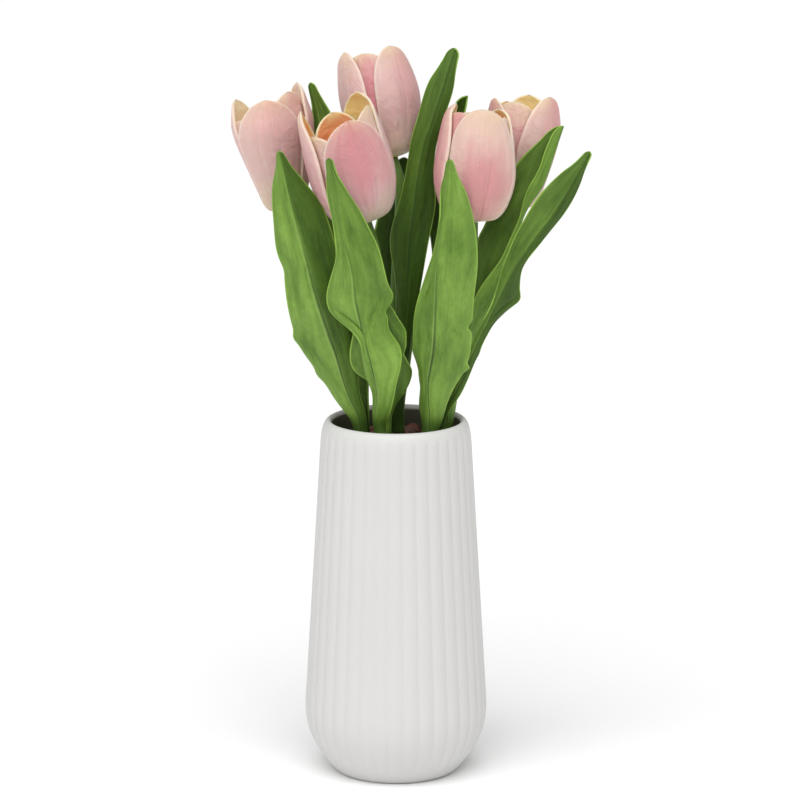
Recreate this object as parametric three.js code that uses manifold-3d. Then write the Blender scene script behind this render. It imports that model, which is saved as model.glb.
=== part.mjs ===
// Tulips in a ribbed vase. Millimetres, +Z up, the origin is the centre of the vase's flat foot.
// The viewer stands at -Y, +X is to the viewer's right.
import * as THREE from 'three';
import { mergeVertices } from 'three/addons/utils/BufferGeometryUtils.js';
import Module from 'manifold-3d';

const wasm = await Module();
wasm.setup();

// ---------------------------------------------------------------- driving dimensions
const GAP = 0.3;                 // clearance between pieces that touch

const VASE_HEIGHT = 207;
const VASE_RIBS = 36;
const RIB_DEPTH = 0.9;           // from a rib's crest to the valley beside it
const RIBS_START = 6;            // height where the ribs fade in above the foot
const RIBS_END = 198;            // height where they have faded into the lip
const VASE_FLOOR = 8;            // thickness of the vase's base

const FOAM_RADIUS = 36;
const FOAM_TOP = 188;
const FOAM_CHAMFER = 4;
const STEM_FOOT = 128;           // the stems are pushed this deep into the foam

const PEBBLE_TOP = 198;
const PEBBLE_COUNT = 30;
const PEBBLE_RADIUS = 5.6;
const PEBBLE_FLATNESS = 0.75;    // height over width

const STEM_RADIUS = 3.2;
const STEM_SIDES = 8;
const STEM_STEPS = 10;
const STEM_CLEARANCE = 0.4;      // around a stem, in its hole and under a leaf's clasp

const HEART_RADIUS = 4.4;        // the receptacle that carries the petals
const PETAL_THICKNESS = 1;
const PETAL_ACROSS = 4;          // cells across a petal
const PETAL_ALONG = 7;           // cells from its base to its tip
const WHORL_STEP = 2.4;          // the inner petals lie this far inside the outer ones

const LEAF_THICKNESS = 1.1;
const LEAF_ACROSS = 4;
const LEAF_ALONG = 11;
const LEAF_BASE = 199;           // the leaves clasp their stems from this height
const CLASP_HEIGHT = 12;         // and follow them for this long

const COLOURS = {
  glaze: 0xe4e3df,
  foam: 0x5d6b3c,
  pebble: 0x6f4a38,
  stem: 0x5c8a3c,
  leaf: 0x5b8734,
  petal: 0xdcb2b0,
  heart: 0xd9c06a,
};

const UP = new THREE.Vector3(0, 0, 1);
const radians = THREE.MathUtils.degToRad;
const point = (p) => new THREE.Vector3(...p);

// An azimuth of 0 faces the viewer (-Y) and one of 90 faces right (+X).
const facing = (azimuth) => new THREE.Vector3(Math.sin(radians(azimuth)), -Math.cos(radians(azimuth)), 0);

const smoothCurve = (points) => new THREE.CatmullRomCurve3(points, false, 'catmullrom', 0.5);

// A smooth value along 0..1 through evenly spaced stations.
function station(values, along) {
  const curve = new THREE.SplineCurve(values.map((value, i) => new THREE.Vector2(i, value)));
  return Math.max(curve.getPoint(along).y, 0.3);
}

function mesh(name, geometry, colour, roughness) {
  const material = new THREE.MeshStandardMaterial({ color: colour, roughness, metalness: 0 });
  const piece = new THREE.Mesh(geometry, material);
  piece.name = name;
  return piece;
}

// ---------------------------------------------------------------- solids and booleans
function toSolid(geometry) {
  const plain = geometry.clone();
  plain.deleteAttribute('normal');
  plain.deleteAttribute('uv');
  const merged = mergeVertices(plain, 1e-4);
  return new wasm.Manifold(new wasm.Mesh({
    numProp: 3,
    vertProperties: new Float32Array(merged.attributes.position.array),
    triVerts: new Uint32Array(merged.index.array),
  }));
}

function toGeometry(solid) {
  const { vertProperties, triVerts } = solid.getMesh();
  const geometry = new THREE.BufferGeometry();
  geometry.setAttribute('position', new THREE.BufferAttribute(vertProperties, 3));
  geometry.setIndex(new THREE.BufferAttribute(triVerts, 1));
  return geometry;
}

// A lathed solid standing on +Z, from a profile of [radius, height] read from the bottom up.
function lathe(profile, segments) {
  const points = profile.map(([radius, height]) => new THREE.Vector2(radius, height));
  return new THREE.LatheGeometry(points, segments).rotateX(Math.PI / 2);
}

// A closed rod of regular section that follows a curve.
function rod(curve, radius, sides, steps) {
  const section = new THREE.Shape();
  for (let side = 0; side < sides; side += 1) {
    const angle = (side / sides) * 2 * Math.PI;
    const corner = [radius * Math.cos(angle), radius * Math.sin(angle)];
    if (side === 0) section.moveTo(...corner);
    else section.lineTo(...corner);
  }
  return new THREE.ExtrudeGeometry(section, { steps, extrudePath: curve, bevelEnabled: false });
}

// A sheet of even thickness around the surface at(across, along), across -1..1 and along 0..1.
function sheet(at, cellsAcross, cellsAlong, thickness) {
  const positions = [];
  const columns = cellsAcross + 1;
  const rows = cellsAlong + 1;
  const nudge = 0.01;
  for (const face of [0.5, -0.5]) {
    for (let row = 0; row < rows; row += 1) {
      const along = (1 - Math.cos((row / cellsAlong) * Math.PI)) / 2;
      for (let column = 0; column < columns; column += 1) {
        const across = 2 * column / cellsAcross - 1;
        const sideways = at(across + nudge, along).sub(at(across - nudge, along));
        const upwards = at(across, Math.min(along + nudge, 1)).sub(at(across, Math.max(along - nudge, 0)));
        const normal = sideways.cross(upwards).normalize();
        positions.push(...at(across, along).addScaledVector(normal, face * thickness).toArray());
      }
    }
  }

  const back = rows * columns;
  const vertex = (column, row) => row * columns + column;
  const index = [];
  for (let row = 0; row < cellsAlong; row += 1) {
    for (let column = 0; column < cellsAcross; column += 1) {
      const [a, b] = [vertex(column, row), vertex(column + 1, row)];
      const [c, d] = [vertex(column + 1, row + 1), vertex(column, row + 1)];
      index.push(a, b, c, a, c, d);
      index.push(back + a, back + c, back + b, back + a, back + d, back + c);
    }
  }

  const rim = [];
  for (let column = 0; column < cellsAcross; column += 1) rim.push(vertex(column, 0));
  for (let row = 0; row < cellsAlong; row += 1) rim.push(vertex(cellsAcross, row));
  for (let column = cellsAcross; column > 0; column -= 1) rim.push(vertex(column, cellsAlong));
  for (let row = cellsAlong; row > 0; row -= 1) rim.push(vertex(0, row));
  rim.forEach((a, i) => {
    const b = rim[(i + 1) % rim.length];
    index.push(a, back + a, back + b, a, back + b, b);
  });

  const geometry = new THREE.BufferGeometry();
  geometry.setAttribute('position', new THREE.Float32BufferAttribute(positions, 3));
  geometry.setIndex(index);
  return geometry;
}

// ---------------------------------------------------------------- vase
// A slip-cast vase: widest low down, tapering to a rounded lip, with soft ribs all round.
const vaseOutside = [
  [0, 0], [33.5, 0], [35.5, 1.2], [39.5, 5.5], [44, 11.5], [48.4, 19.5], [51.2, 27.5], [52.2, 36],
  [51.7, 50], [43.4, 190], [43.1, 198], [42.3, 203.2], [40.4, 206.2],
  [38.4, VASE_HEIGHT],
];
const vaseInside = [
  [0, VASE_FLOOR], [34, VASE_FLOOR], [40, 12], [45, 22], [46.6, 36], [46.2, 50], [38.1, 190],
  [37.3, 199], [36.4, 203.5], [37, 206], [38.4, VASE_HEIGHT], [38.4, VASE_HEIGHT + 1], [0, VASE_HEIGHT + 1],
];

function ribbed(geometry, columns) {
  const place = geometry.attributes.position;
  for (let i = 0; i < place.count; i += 1) {
    const height = place.getZ(i);
    const fadeIn = THREE.MathUtils.smoothstep(height, RIBS_START, RIBS_START + 8);
    const fadeOut = 1 - THREE.MathUtils.smoothstep(height, RIBS_END - 10, RIBS_END);
    const column = Math.round(Math.atan2(place.getY(i), place.getX(i)) / (2 * Math.PI) * columns);
    const valley = column % 2 === 0 ? 0 : RIB_DEPTH * fadeIn * fadeOut;
    const radius = Math.hypot(place.getX(i), place.getY(i));
    const factor = radius > 0 ? (radius - valley) / radius : 1;
    place.setXY(i, place.getX(i) * factor, place.getY(i) * factor);
  }
  return geometry;
}

function vase() {
  const columns = 2 * VASE_RIBS;
  const outside = toSolid(ribbed(lathe([...vaseOutside, [0, VASE_HEIGHT]], columns), columns));
  const inside = toSolid(lathe(vaseInside, VASE_RIBS));
  return mesh('vase', toGeometry(outside.subtract(inside)), COLOURS.glaze, 0.55);
}

// ---------------------------------------------------------------- flowers' and stems' places
// Each tulip: the middle of its base and of its top, its greatest radius, the four shares that give
// its outline, its stem's lower points, and its petals. A petal has its azimuth, how far up the
// outline it reaches, and its width as a share of the usual.
const tulips = {
  left: {
    base: [-62, 8, 326], top: [-73, 12, 394], radius: 22, outline: [0.5, 0.64, 0.92, 0.78],
    stem: [[-13, -4, STEM_FOOT], [-19, -8, 199], [-24, -8, 225], [-42, -3, 272]],
    outer: [[-3, 0.93, 1.15], [108, 1, 1], [-112, 0.94, 1]],
    inner: [[-62, 0.8, 1], [46, 0.97, 1], [185, 0.88, 1]],
  },
  middle: {
    base: [-17, -18, 325], top: [-35, -22, 391], radius: 23.7, outline: [0.82, 0.42, 0.88, 0.7],
    stem: [[-4, -10, STEM_FOOT], [-7, -15, 199], [-9, -14, 225], [-11, -14, 268]],
    outer: [[18, 0.89, 1.15], [128, 1, 1.15], [-88, 1, 1]],
    inner: [[72, 0.93, 1.15], [188, 0.88, 1], [-46, 0.83, 1]],
  },
  top: {
    base: [-2, 22, 354], top: [-15, 37, 413], radius: 22, outline: [0.64, 0.5, 0.84, 0.6],
    stem: [[3, 4, STEM_FOOT], [1, 6, 199], [0, 7, 225], [0, 14, 280]],
    outer: [[43, 0.96, 0.92], [160, 0.92, 1], [-66, 1, 0.95]],
    inner: [[-18, 0.96, 1], [100, 0.9, 1], [220, 0.9, 1]],
  },
  right: {
    base: [43, -16, 324], top: [46, -8, 388], radius: 22.7, outline: [0.82, 0.42, 0.76, 0.4],
    stem: [[11, -8, STEM_FOOT], [19, -14, 199], [22, -14, 225], [34, -16, 270]],
    outer: [[10, 0.95, 1.1], [128, 0.95, 1], [-96, 1, 1]],
    inner: [[-44, 0.94, 1], [76, 0.9, 1], [195, 0.93, 1]],
  },
  far_right: {
    base: [68, 24, 325], top: [74, 30, 388], radius: 20.5, outline: [0.6, 0.62, 0.93, 0.74],
    stem: [[16, 4, STEM_FOOT], [27, -2, 199], [31, 4, 225], [47, 17, 268]],
    outer: [[50, 1, 1], [172, 0.98, 0.95], [-72, 0.94, 1.05]],
    inner: [[-22, 0.95, 1], [98, 0.93, 1], [-142, 0.92, 1]],
  },
};

const STEM_RUN_UP = 22;          // the stem's last stretch lies along the flower's axis

function stemCurve(tulip) {
  const base = point(tulip.base);
  const axis = point(tulip.top).sub(base).normalize();
  const below = base.clone().addScaledVector(axis, -STEM_RUN_UP);
  const end = base.clone().addScaledVector(axis, -GAP);
  return smoothCurve([...tulip.stem.map(point), below, end]);
}

function stem(name, tulip) {
  const geometry = rod(stemCurve(tulip), STEM_RADIUS, STEM_SIDES, STEM_STEPS);
  return mesh(`stem_${name}`, geometry, COLOURS.stem, 0.6);
}

// A wider stem that cuts the hole for the real one, its end a little below the stem's foot.
function stemHole(tulip) {
  const hole = rod(stemCurve(tulip), STEM_RADIUS + STEM_CLEARANCE, STEM_SIDES, STEM_STEPS);
  return toSolid(hole.translate(0, 0, -GAP));
}

// ---------------------------------------------------------------- foam and pebbles
const stemHoles = Object.values(tulips).map(stemHole);

function floralFoam() {
  const low = VASE_FLOOR + GAP;
  const block = toSolid(lathe([
    [0, low], [FOAM_RADIUS - FOAM_CHAMFER, low], [FOAM_RADIUS, low + FOAM_CHAMFER],
    [FOAM_RADIUS, FOAM_TOP], [0, FOAM_TOP],
  ], VASE_RIBS));
  const drilled = stemHoles.reduce((solid, hole) => solid.subtract(hole), block);
  return mesh('floral_foam', toGeometry(drilled), COLOURS.foam, 0.95);
}

function pebbleBed() {
  const goldenAngle = Math.PI * (3 - Math.sqrt(5));
  const low = FOAM_TOP + GAP;
  const bedTop = PEBBLE_TOP - PEBBLE_RADIUS * PEBBLE_FLATNESS;
  const bedRadius = FOAM_RADIUS;
  let bed = toSolid(lathe([[0, low], [bedRadius, low], [bedRadius, bedTop], [0, bedTop]], VASE_RIBS));
  for (let k = 0; k < PEBBLE_COUNT; k += 1) {
    const reach = (bedRadius - PEBBLE_RADIUS) * Math.sqrt((k + 0.5) / PEBBLE_COUNT);
    const pebble = new THREE.IcosahedronGeometry(PEBBLE_RADIUS, 0);
    pebble.scale(1, 0.85, PEBBLE_FLATNESS).rotateZ(k * 1.7);
    pebble.translate(reach * Math.cos(k * goldenAngle), reach * Math.sin(k * goldenAngle), bedTop);
    bed = bed.add(toSolid(pebble));
  }
  bed = stemHoles.reduce((solid, hole) => solid.subtract(hole), bed);
  return mesh('pebble_bed', toGeometry(bed), COLOURS.pebble, 0.7);
}

// ---------------------------------------------------------------- tulip heads
// How a petal's middle line runs, as shares of the radius and of the length: low is the radius near
// the base, belly the height of the widest place, and shoulder and tip the radii above it.
const budOutline = ([low, belly, shoulder, tip]) => [
  [0, 0], [0.6 * low, 0.03], [low, 0.16], [1, belly], [shoulder, 0.87], [tip, 1],
];

// A petal's half width in millimetres: round-shouldered, widest above the middle.
const PETAL_HALF_WIDTH = 18.5;
const PETAL_BASE_HALF_WIDTH = 2.6;
const WIDEST_WRAP = radians(52);
const petalHalfWidth = (along) => {
  const shifted = along ** 1.25;
  const blade = Math.sqrt(Math.max(4 * shifted * (1 - shifted), 0)) ** 1.25;
  return PETAL_HALF_WIDTH * blade + PETAL_BASE_HALF_WIDTH * (1 - along) ** 2 + 0.4;
};

// The petal stands on the heart at azimuth 0 (+X of the flower's own frame) and wraps its axis.
function petalGeometry(tulip, length, share, wide, inset) {
  const start = HEART_RADIUS + GAP + PETAL_THICKNESS / 2;
  const outline = smoothCurve(budOutline(tulip.outline).map(
    ([radius, height]) => new THREE.Vector3(radius * (tulip.radius - start), 0, height * length)));
  const at = (across, along) => {
    const middle = outline.getPointAt(along * share);
    const tangent = outline.getTangentAt(along * share);
    const reach = start + Math.max(middle.x - tangent.z * inset, 0);
    const angle = across * Math.min(wide * petalHalfWidth(along) / reach, WIDEST_WRAP);
    return new THREE.Vector3(reach * Math.cos(angle), reach * Math.sin(angle), middle.z + tangent.x * inset);
  };
  return sheet(at, PETAL_ACROSS, PETAL_ALONG, PETAL_THICKNESS);
}

// The receptacle with the pistil on it and six stamens around the pistil.
function heartGeometry() {
  const stamens = 6;
  const stamenLength = 17;
  const stamenLean = radians(14);
  let heart = toSolid(lathe([
    [0, 0], [STEM_RADIUS, 0], [HEART_RADIUS, 0.9], [HEART_RADIUS, 4.9], [2.6, 6.5], [2.3, 20],
    [3.4, 22.5], [2.2, 24.5], [0, 25],
  ], STEM_SIDES));
  for (let k = 0; k < stamens; k += 1) {
    const stamen = new THREE.CylinderGeometry(1.3, 0.8, stamenLength, 4).rotateX(Math.PI / 2);
    stamen.translate(0, 0, stamenLength / 2).rotateY(stamenLean).translate(2.6, 0, 4);
    heart = heart.add(toSolid(stamen.rotateZ(k * 2 * Math.PI / stamens)));
  }
  return toGeometry(heart);
}

function flowerHead(name, tulip) {
  const head = new THREE.Group();
  const base = point(tulip.base);
  const axis = point(tulip.top).sub(base);
  const length = axis.length();
  head.position.copy(base);
  head.quaternion.setFromUnitVectors(UP, axis.normalize());
  head.add(mesh(`heart_${name}`, heartGeometry(), COLOURS.heart, 0.7));

  const whorls = { outer: [tulip.outer, 0], inner: [tulip.inner, WHORL_STEP] };
  for (const [whorl, [petals, inset]] of Object.entries(whorls)) {
    petals.forEach(([azimuth, share, wide], i) => {
      const geometry = petalGeometry(tulip, length, share, wide, inset);
      const petal = mesh(`petal_${name}_${whorl}_${i + 1}`, geometry, COLOURS.petal, 0.6);
      petal.position.z = 1.2;
      petal.rotation.z = radians(azimuth - 90);
      head.add(petal);
    });
  }
  return head;
}

// ---------------------------------------------------------------- leaves
// Each leaf: its tulip, the azimuths that its back faces at the base and at the tip, the free points
// of its midrib above the clasp, its half widths left and right at even stations, how far each half
// is folded back at the midrib and how far it curls on from there (degrees at base, middle and
// tip), and its wave: height, waves along the edge and phase.
const leaves = {
  front_left: {
    tulip: 'left', faces: [-12, -8],
    midrib: [
      [-28, -16, 227], [-34, -22, 250], [-44, -32, 282], [-51, -34, 310], [-58, -33, 337], [-65, -29, 366],
    ],
    left: [4, 8, 13.5, 22, 23, 20.5, 18.2, 18, 14.2, 9.6, 0.5],
    right: [4, 4.8, 9, 12, 14.6, 16.2, 17.6, 17.8, 14.4, 8.6, 0.5],
    fold: [0, 14, 14], curl: [50, 12, 10], wave: [0.8, 3, 0],
  },
  front_middle: {
    tulip: 'middle', faces: [-50, 0],
    midrib: [
      [-11, -29, 230], [-17, -41, 259], [-22, -48, 283], [-24, -52, 301], [-29, -54, 323], [-37, -53, 366],
    ],
    left: [3.8, 7.8, 7, 4.4, 3.8, 17, 14, 6.5, 4.5, 4.5, 0.5],
    right: [3.8, 8, 11, 19.5, 15.6, 21, 19, 17.5, 13, 6, 0.5],
    fold: [0, 12, 10], curl: [55, 12, 8], wave: [0.8, 3, 1],
  },
  short_middle: {
    tulip: 'middle', faces: [70, 0],
    midrib: [[-2, -22, 231], [-5, -27, 246], [-8, -31, 260], [-10, -33, 275], [-11, -33, 288]],
    left: [3, 3, 4, 7, 13, 20, 20, 17, 13, 8, 0.5],
    right: [3.4, 3.8, 5, 7, 12, 11, 12.5, 14, 11, 7, 0.5],
    fold: [0, 2, 5], curl: [55, 8, 10], wave: [1, 3, 2],
  },
  tall_centre: {
    tulip: 'top', faces: [0, -10],
    midrib: [[5, -1, 265], [8, 0, 311], [14, 4, 357], [20, 5, 377], [27, 7, 399], [33, 11, 418]],
    left: [4, 4, 5, 6, 8.2, 13, 9, 7.5, 8.8, 9, 2],
    right: [4, 4.2, 4.5, 5.8, 8.2, 10.6, 12, 8, 6, 5.8, 2],
    fold: [0, 10, 10], curl: [58, 12, 6], wave: [0.5, 2, 0],
  },
  back_centre: {
    tulip: 'top', faces: [180, 180],
    midrib: [[1, 20, 249], [0, 28, 282], [1, 32, 319], [5, 33, 352]],
    left: [4, 5, 7, 9, 11, 11, 10, 9, 7, 4, 0.5],
    right: [4, 5, 7, 9, 12, 14, 15, 14, 11, 6, 0.5],
    fold: [0, 10, 10], curl: [58, 12, 8], wave: [0.5, 2, 1],
  },
  front_right: {
    tulip: 'right', faces: [-10, 0],
    midrib: [[18, -25, 232], [21, -34, 254], [22, -41, 278], [23, -46, 305], [28, -47, 345], [30, -45, 364]],
    left: [4, 7, 5, 11.8, 13.6, 11.8, 6.6, 2.8, 2, 3.4, 0.5],
    right: [4, 9.8, 18.8, 24, 24.6, 24.6, 25.5, 23.8, 18.8, 11, 0.5],
    fold: [0, 18, 10], curl: [58, 12, 8], wave: [0.8, 3, 0],
  },
  back_right: {
    tulip: 'right', faces: [165, 150],
    midrib: [[20, -3, 240], [27, 10, 295], [31, 16, 336], [36, 18, 371], [40, 17, 390]],
    left: [4, 5, 7, 9, 9, 9, 9, 8, 8, 8, 5],
    right: [4, 5, 7, 7, 6.5, 6, 9, 9, 8, 8, 5],
    fold: [0, 15, 45], curl: [58, 12, 15], wave: [0.5, 2, 2],
  },
  folded_right: {
    tulip: 'far_right', faces: [62, 90],
    midrib: [
      [36, -4, 229], [43, -7, 249], [53, -10, 271], [63, -11, 298], [73, -9, 327], [84, -7, 345],
      [94, -4, 376],
    ],
    left: [2.8, 4.5, 9, 11, 13, 9.5, 4, 4, 9.5, 9.5, 3.5],
    right: [3.4, 5, 8, 12, 16, 19, 21.5, 18.5, 19.5, 15, 5],
    fold: [0, 50, 60], curl: [45, 15, 20], wave: [0.4, 2, 0],
  },
  far_right: {
    tulip: 'far_right', faces: [-30, 10],
    midrib: [[35, -14, 228], [46, -21, 256], [57, -25, 279], [71, -28, 307], [91, -28, 335], [108, -25, 365]],
    left: [3.4, 3, 2.4, 2.2, 2.6, 3.6, 7, 10.4, 12.6, 8.4, 0.5],
    right: [2.8, 2.8, 3, 3.4, 4.5, 11, 4.5, 5, 6, 5, 0.5],
    fold: [0, 15, 15], curl: [45, 12, 8], wave: [0.5, 3, 1],
  },
  back_left: {
    tulip: 'left', faces: [160, 180],
    midrib: [[-21, 3, 232], [-25, 13, 266], [-33, 20, 307], [-40, 22, 347], [-44, 22, 376], [-48, 20, 397]],
    left: [4, 6, 8, 9, 10, 10, 10, 10, 10, 8.5, 0.5],
    right: [4, 6, 8, 9, 10, 10, 9, 8, 5, 3, 0.5],
    fold: [0, 10, 10], curl: [58, 12, 8], wave: [0.5, 2, 2],
  },
};

// The point of a stem at a height, found by halving.
function stemPointAtHeight(tulip, height) {
  const curve = stemCurve(tulip);
  let [low, high] = [0, 1];
  for (let i = 0; i < 30; i += 1) {
    const middle = (low + high) / 2;
    if (curve.getPoint(middle).z < height) low = middle;
    else high = middle;
  }
  return curve.getPoint(low);
}

function leafGeometry(leaf) {
  const tulip = tulips[leaf.tulip];
  const seat = STEM_RADIUS + STEM_CLEARANCE + LEAF_THICKNESS / 2;
  const outwards = facing(leaf.faces[0]);
  const foot = stemPointAtHeight(tulip, LEAF_BASE).addScaledVector(outwards, seat);
  const claspTop = stemPointAtHeight(tulip, LEAF_BASE + CLASP_HEIGHT).addScaledVector(outwards, seat + 0.6);
  const midrib = smoothCurve([foot, claspTop, ...leaf.midrib.map(point)]);

  const at = (across, along) => {
    const tangent = midrib.getTangentAt(along);
    const turned = THREE.MathUtils.smoothstep(along, 0.08, 0.35);
    const back = facing(THREE.MathUtils.lerp(leaf.faces[0], leaf.faces[1], turned));
    const out = back.clone().addScaledVector(tangent, -back.dot(tangent)).normalize();
    const side = tangent.clone().cross(out);

    const edge = station(across < 0 ? leaf.left : leaf.right, along);
    const fold = radians(station(leaf.fold, along));
    const curl = radians(station(leaf.curl, along));
    const end = fold + curl * Math.abs(across);
    const sideways = Math.sign(across) * edge * (Math.sin(end) - Math.sin(fold)) / curl;
    const backwards = edge * (Math.cos(fold) - Math.cos(end)) / curl;
    const [height, count, phase] = leaf.wave;
    const wave = height * across * across * Math.sin(2 * Math.PI * count * along + phase + across)
      * THREE.MathUtils.smoothstep(along, 0.15, 0.4);
    return midrib.getPointAt(along).addScaledVector(side, sideways).addScaledVector(out, wave - backwards);
  };
  return sheet(at, LEAF_ACROSS, LEAF_ALONG, LEAF_THICKNESS);
}

// ---------------------------------------------------------------- assembly
const bouquet = new THREE.Group();
bouquet.add(vase(), floralFoam(), pebbleBed());
for (const [name, tulip] of Object.entries(tulips)) {
  bouquet.add(stem(name, tulip), flowerHead(name, tulip));
}
for (const [name, leaf] of Object.entries(leaves)) {
  bouquet.add(mesh(`leaf_${name}`, leafGeometry(leaf), COLOURS.leaf, 0.5));
}

export default bouquet;
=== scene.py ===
"""Five tulips with their leaves in a ribbed ceramic vase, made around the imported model. Metres, +Z up.

The viewer stands at -Y, and +X is to the viewer's right.
"""

import math

import bpy
import numpy as np
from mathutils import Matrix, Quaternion, Vector


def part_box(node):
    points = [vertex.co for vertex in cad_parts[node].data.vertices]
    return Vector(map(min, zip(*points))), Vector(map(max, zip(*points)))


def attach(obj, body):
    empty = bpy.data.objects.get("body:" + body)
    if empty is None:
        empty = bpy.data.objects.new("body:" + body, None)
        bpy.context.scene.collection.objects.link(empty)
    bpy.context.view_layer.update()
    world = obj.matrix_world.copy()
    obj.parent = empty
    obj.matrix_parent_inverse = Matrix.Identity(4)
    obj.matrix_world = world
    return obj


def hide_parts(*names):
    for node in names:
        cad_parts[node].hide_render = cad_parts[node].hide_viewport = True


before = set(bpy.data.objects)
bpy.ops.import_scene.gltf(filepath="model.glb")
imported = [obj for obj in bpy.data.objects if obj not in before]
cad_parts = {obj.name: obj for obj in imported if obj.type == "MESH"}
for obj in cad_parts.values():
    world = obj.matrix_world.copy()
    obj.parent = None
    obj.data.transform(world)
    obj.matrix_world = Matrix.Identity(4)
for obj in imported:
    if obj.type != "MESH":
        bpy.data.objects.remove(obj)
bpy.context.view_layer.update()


# ---------------------------------------------------------------- camera
# A long lens a little above the flowers, looking down by about a seventh of a right angle, with
# its middle near the vase's axis, halfway up the arrangement.
CAMERA_TARGET = Vector((0.0023, 0, 0.2179))
CAMERA_DISTANCE = 2.565
CAMERA_PITCH = math.radians(12.6)
SENSOR_WIDTH = 36
FOCAL_LENGTH = 202.5

lens = bpy.data.cameras.new("camera")
lens.sensor_width = SENSOR_WIDTH
lens.lens = FOCAL_LENGTH
lens.clip_end = 50
camera = bpy.data.objects.new("camera", lens)
bpy.context.collection.objects.link(camera)
look = Vector((0, math.cos(CAMERA_PITCH), -math.sin(CAMERA_PITCH)))
camera.location = CAMERA_TARGET - CAMERA_DISTANCE * look
camera.rotation_euler = look.to_track_quat("-Z", "Y").to_euler()
bpy.context.scene.camera = camera


# ---------------------------------------------------------------- floor and light
# A white studio table that runs on to the horizon, under a white sky, a wide soft bounce from
# above and a large soft box on either side. The floor isn't part of the object.
def linear(hex_colour):
    """The linear colour of an sRGB hex value such as "#E8E4DC"."""
    channels = [int(hex_colour[i:i + 2], 16) / 255 for i in (1, 3, 5)]
    return [c / 12.92 if c <= 0.04045 else ((c + 0.055) / 1.055) ** 2.4 for c in channels] + [1]


def add(tree, kind, inputs=None, **settings):
    """Adds a node: settings are its properties, inputs are its values, hex colours and links.

    "Math" is short for ShaderNodeMath, and so on. A node given as an input is linked by the first
    of its outputs that is in use. A colour Mix has its factor at 0 and its colours at 6 and 7.
    """
    node = tree.nodes.new(kind if "Node" in kind else "ShaderNode" + kind)
    for name, value in settings.items():
        setattr(node, name, value)
    for socket, value in (inputs or {}).items():
        if isinstance(value, bpy.types.Node):
            value = next(output for output in value.outputs if output.enabled)
        if isinstance(value, bpy.types.NodeSocket):
            tree.links.new(value, node.inputs[socket])
        elif isinstance(value, str) and value.startswith("#"):
            node.inputs[socket].default_value = linear(value)
        else:
            node.inputs[socket].default_value = value
    return node


def set_stops(ramp, stops):
    """Gives a colour ramp its stops, each a position and a hex colour, in order."""
    ends = ramp.color_ramp.elements
    ends[0].position, ends[1].position = stops[0][0], stops[-1][0]
    ends[0].color, ends[1].color = linear(stops[0][1]), linear(stops[-1][1])
    for position, colour in stops[1:-1]:
        ends.new(position).color = linear(colour)


def new_material(name):
    """An empty node material and its tree."""
    material = bpy.data.materials.new(name)
    material.use_nodes = True
    material.node_tree.nodes.clear()
    return material, material.node_tree


def finish_material(tree, finish):
    """Ends a material with a principled shader that has these inputs."""
    shader = add(tree, "BsdfPrincipled", finish)
    add(tree, "OutputMaterial", {"Surface": shader})


def painted_table():
    """Satin white board with a faint unevenness."""
    material, tree = new_material("painted_table")
    place = add(tree, "TexCoord").outputs["Object"]
    patches = add(tree, "TexNoise", {"Vector": place, "Scale": 3.0, "Detail": 2.0})
    tone = add(tree, "Mix", {0: patches, 6: "#F9F9F9", 7: "#F6F6F6"}, data_type="RGBA")
    finish_material(tree, {"Base Color": tone, "Roughness": 0.9, "Specular IOR Level": 0.1})
    return material


def new_mesh(name, vertices, faces, material):
    """A smooth-shaded object with its place in its mesh."""
    mesh = bpy.data.meshes.new(name)
    mesh.from_pydata([tuple(v) for v in vertices], [], [tuple(f) for f in faces])
    mesh.polygons.foreach_set("use_smooth", [True] * len(mesh.polygons))
    mesh.materials.append(material)
    mesh.update()
    piece = bpy.data.objects.new(name, mesh)
    bpy.context.collection.objects.link(piece)
    return piece


FLOOR_REACH = 9
SKY_STRENGTH = 0.4
BOUNCE_STRENGTH = 2.55
BOUNCE_SPREAD = math.radians(60)
corners = [(-FLOOR_REACH, -FLOOR_REACH, 0), (FLOOR_REACH, -FLOOR_REACH, 0),
           (FLOOR_REACH, FLOOR_REACH, 0), (-FLOOR_REACH, FLOOR_REACH, 0)]
floor = new_mesh("floor", corners, [(0, 1, 2, 3)], painted_table())

sky = bpy.data.worlds.new("white_sky")
bpy.context.scene.world = sky
sky.use_nodes = True
background = sky.node_tree.nodes["Background"].inputs
background["Color"].default_value = (1, 1, 1, 1)
background["Strength"].default_value = SKY_STRENGTH


def soft_box(name, place, size, power):
    """A square lamp that faces the middle of the arrangement."""
    lamp = bpy.data.lights.new(name, "AREA")
    lamp.size = size
    lamp.energy = power
    box = bpy.data.objects.new(name, lamp)
    box.location = place
    box.rotation_euler = (CAMERA_TARGET - Vector(place)).to_track_quat("-Z", "Y").to_euler()
    bpy.context.collection.objects.link(box)


soft_box("side_light", (-1.7, -0.9, 1.1), size=1.0, power=5)
soft_box("fill_light", (1.7, -0.6, 0.7), size=1.0, power=3.3)

sun = bpy.data.lights.new("ceiling_bounce", "SUN")
sun.energy = BOUNCE_STRENGTH
sun.angle = BOUNCE_SPREAD
bounce = bpy.data.objects.new("ceiling_bounce", sun)
bounce.rotation_euler = Vector((0.08, 0.6, -1.0)).to_track_quat("-Z", "Y").to_euler()
bpy.context.collection.objects.link(bounce)
bpy.context.scene.view_settings.view_transform = "Standard"


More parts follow.
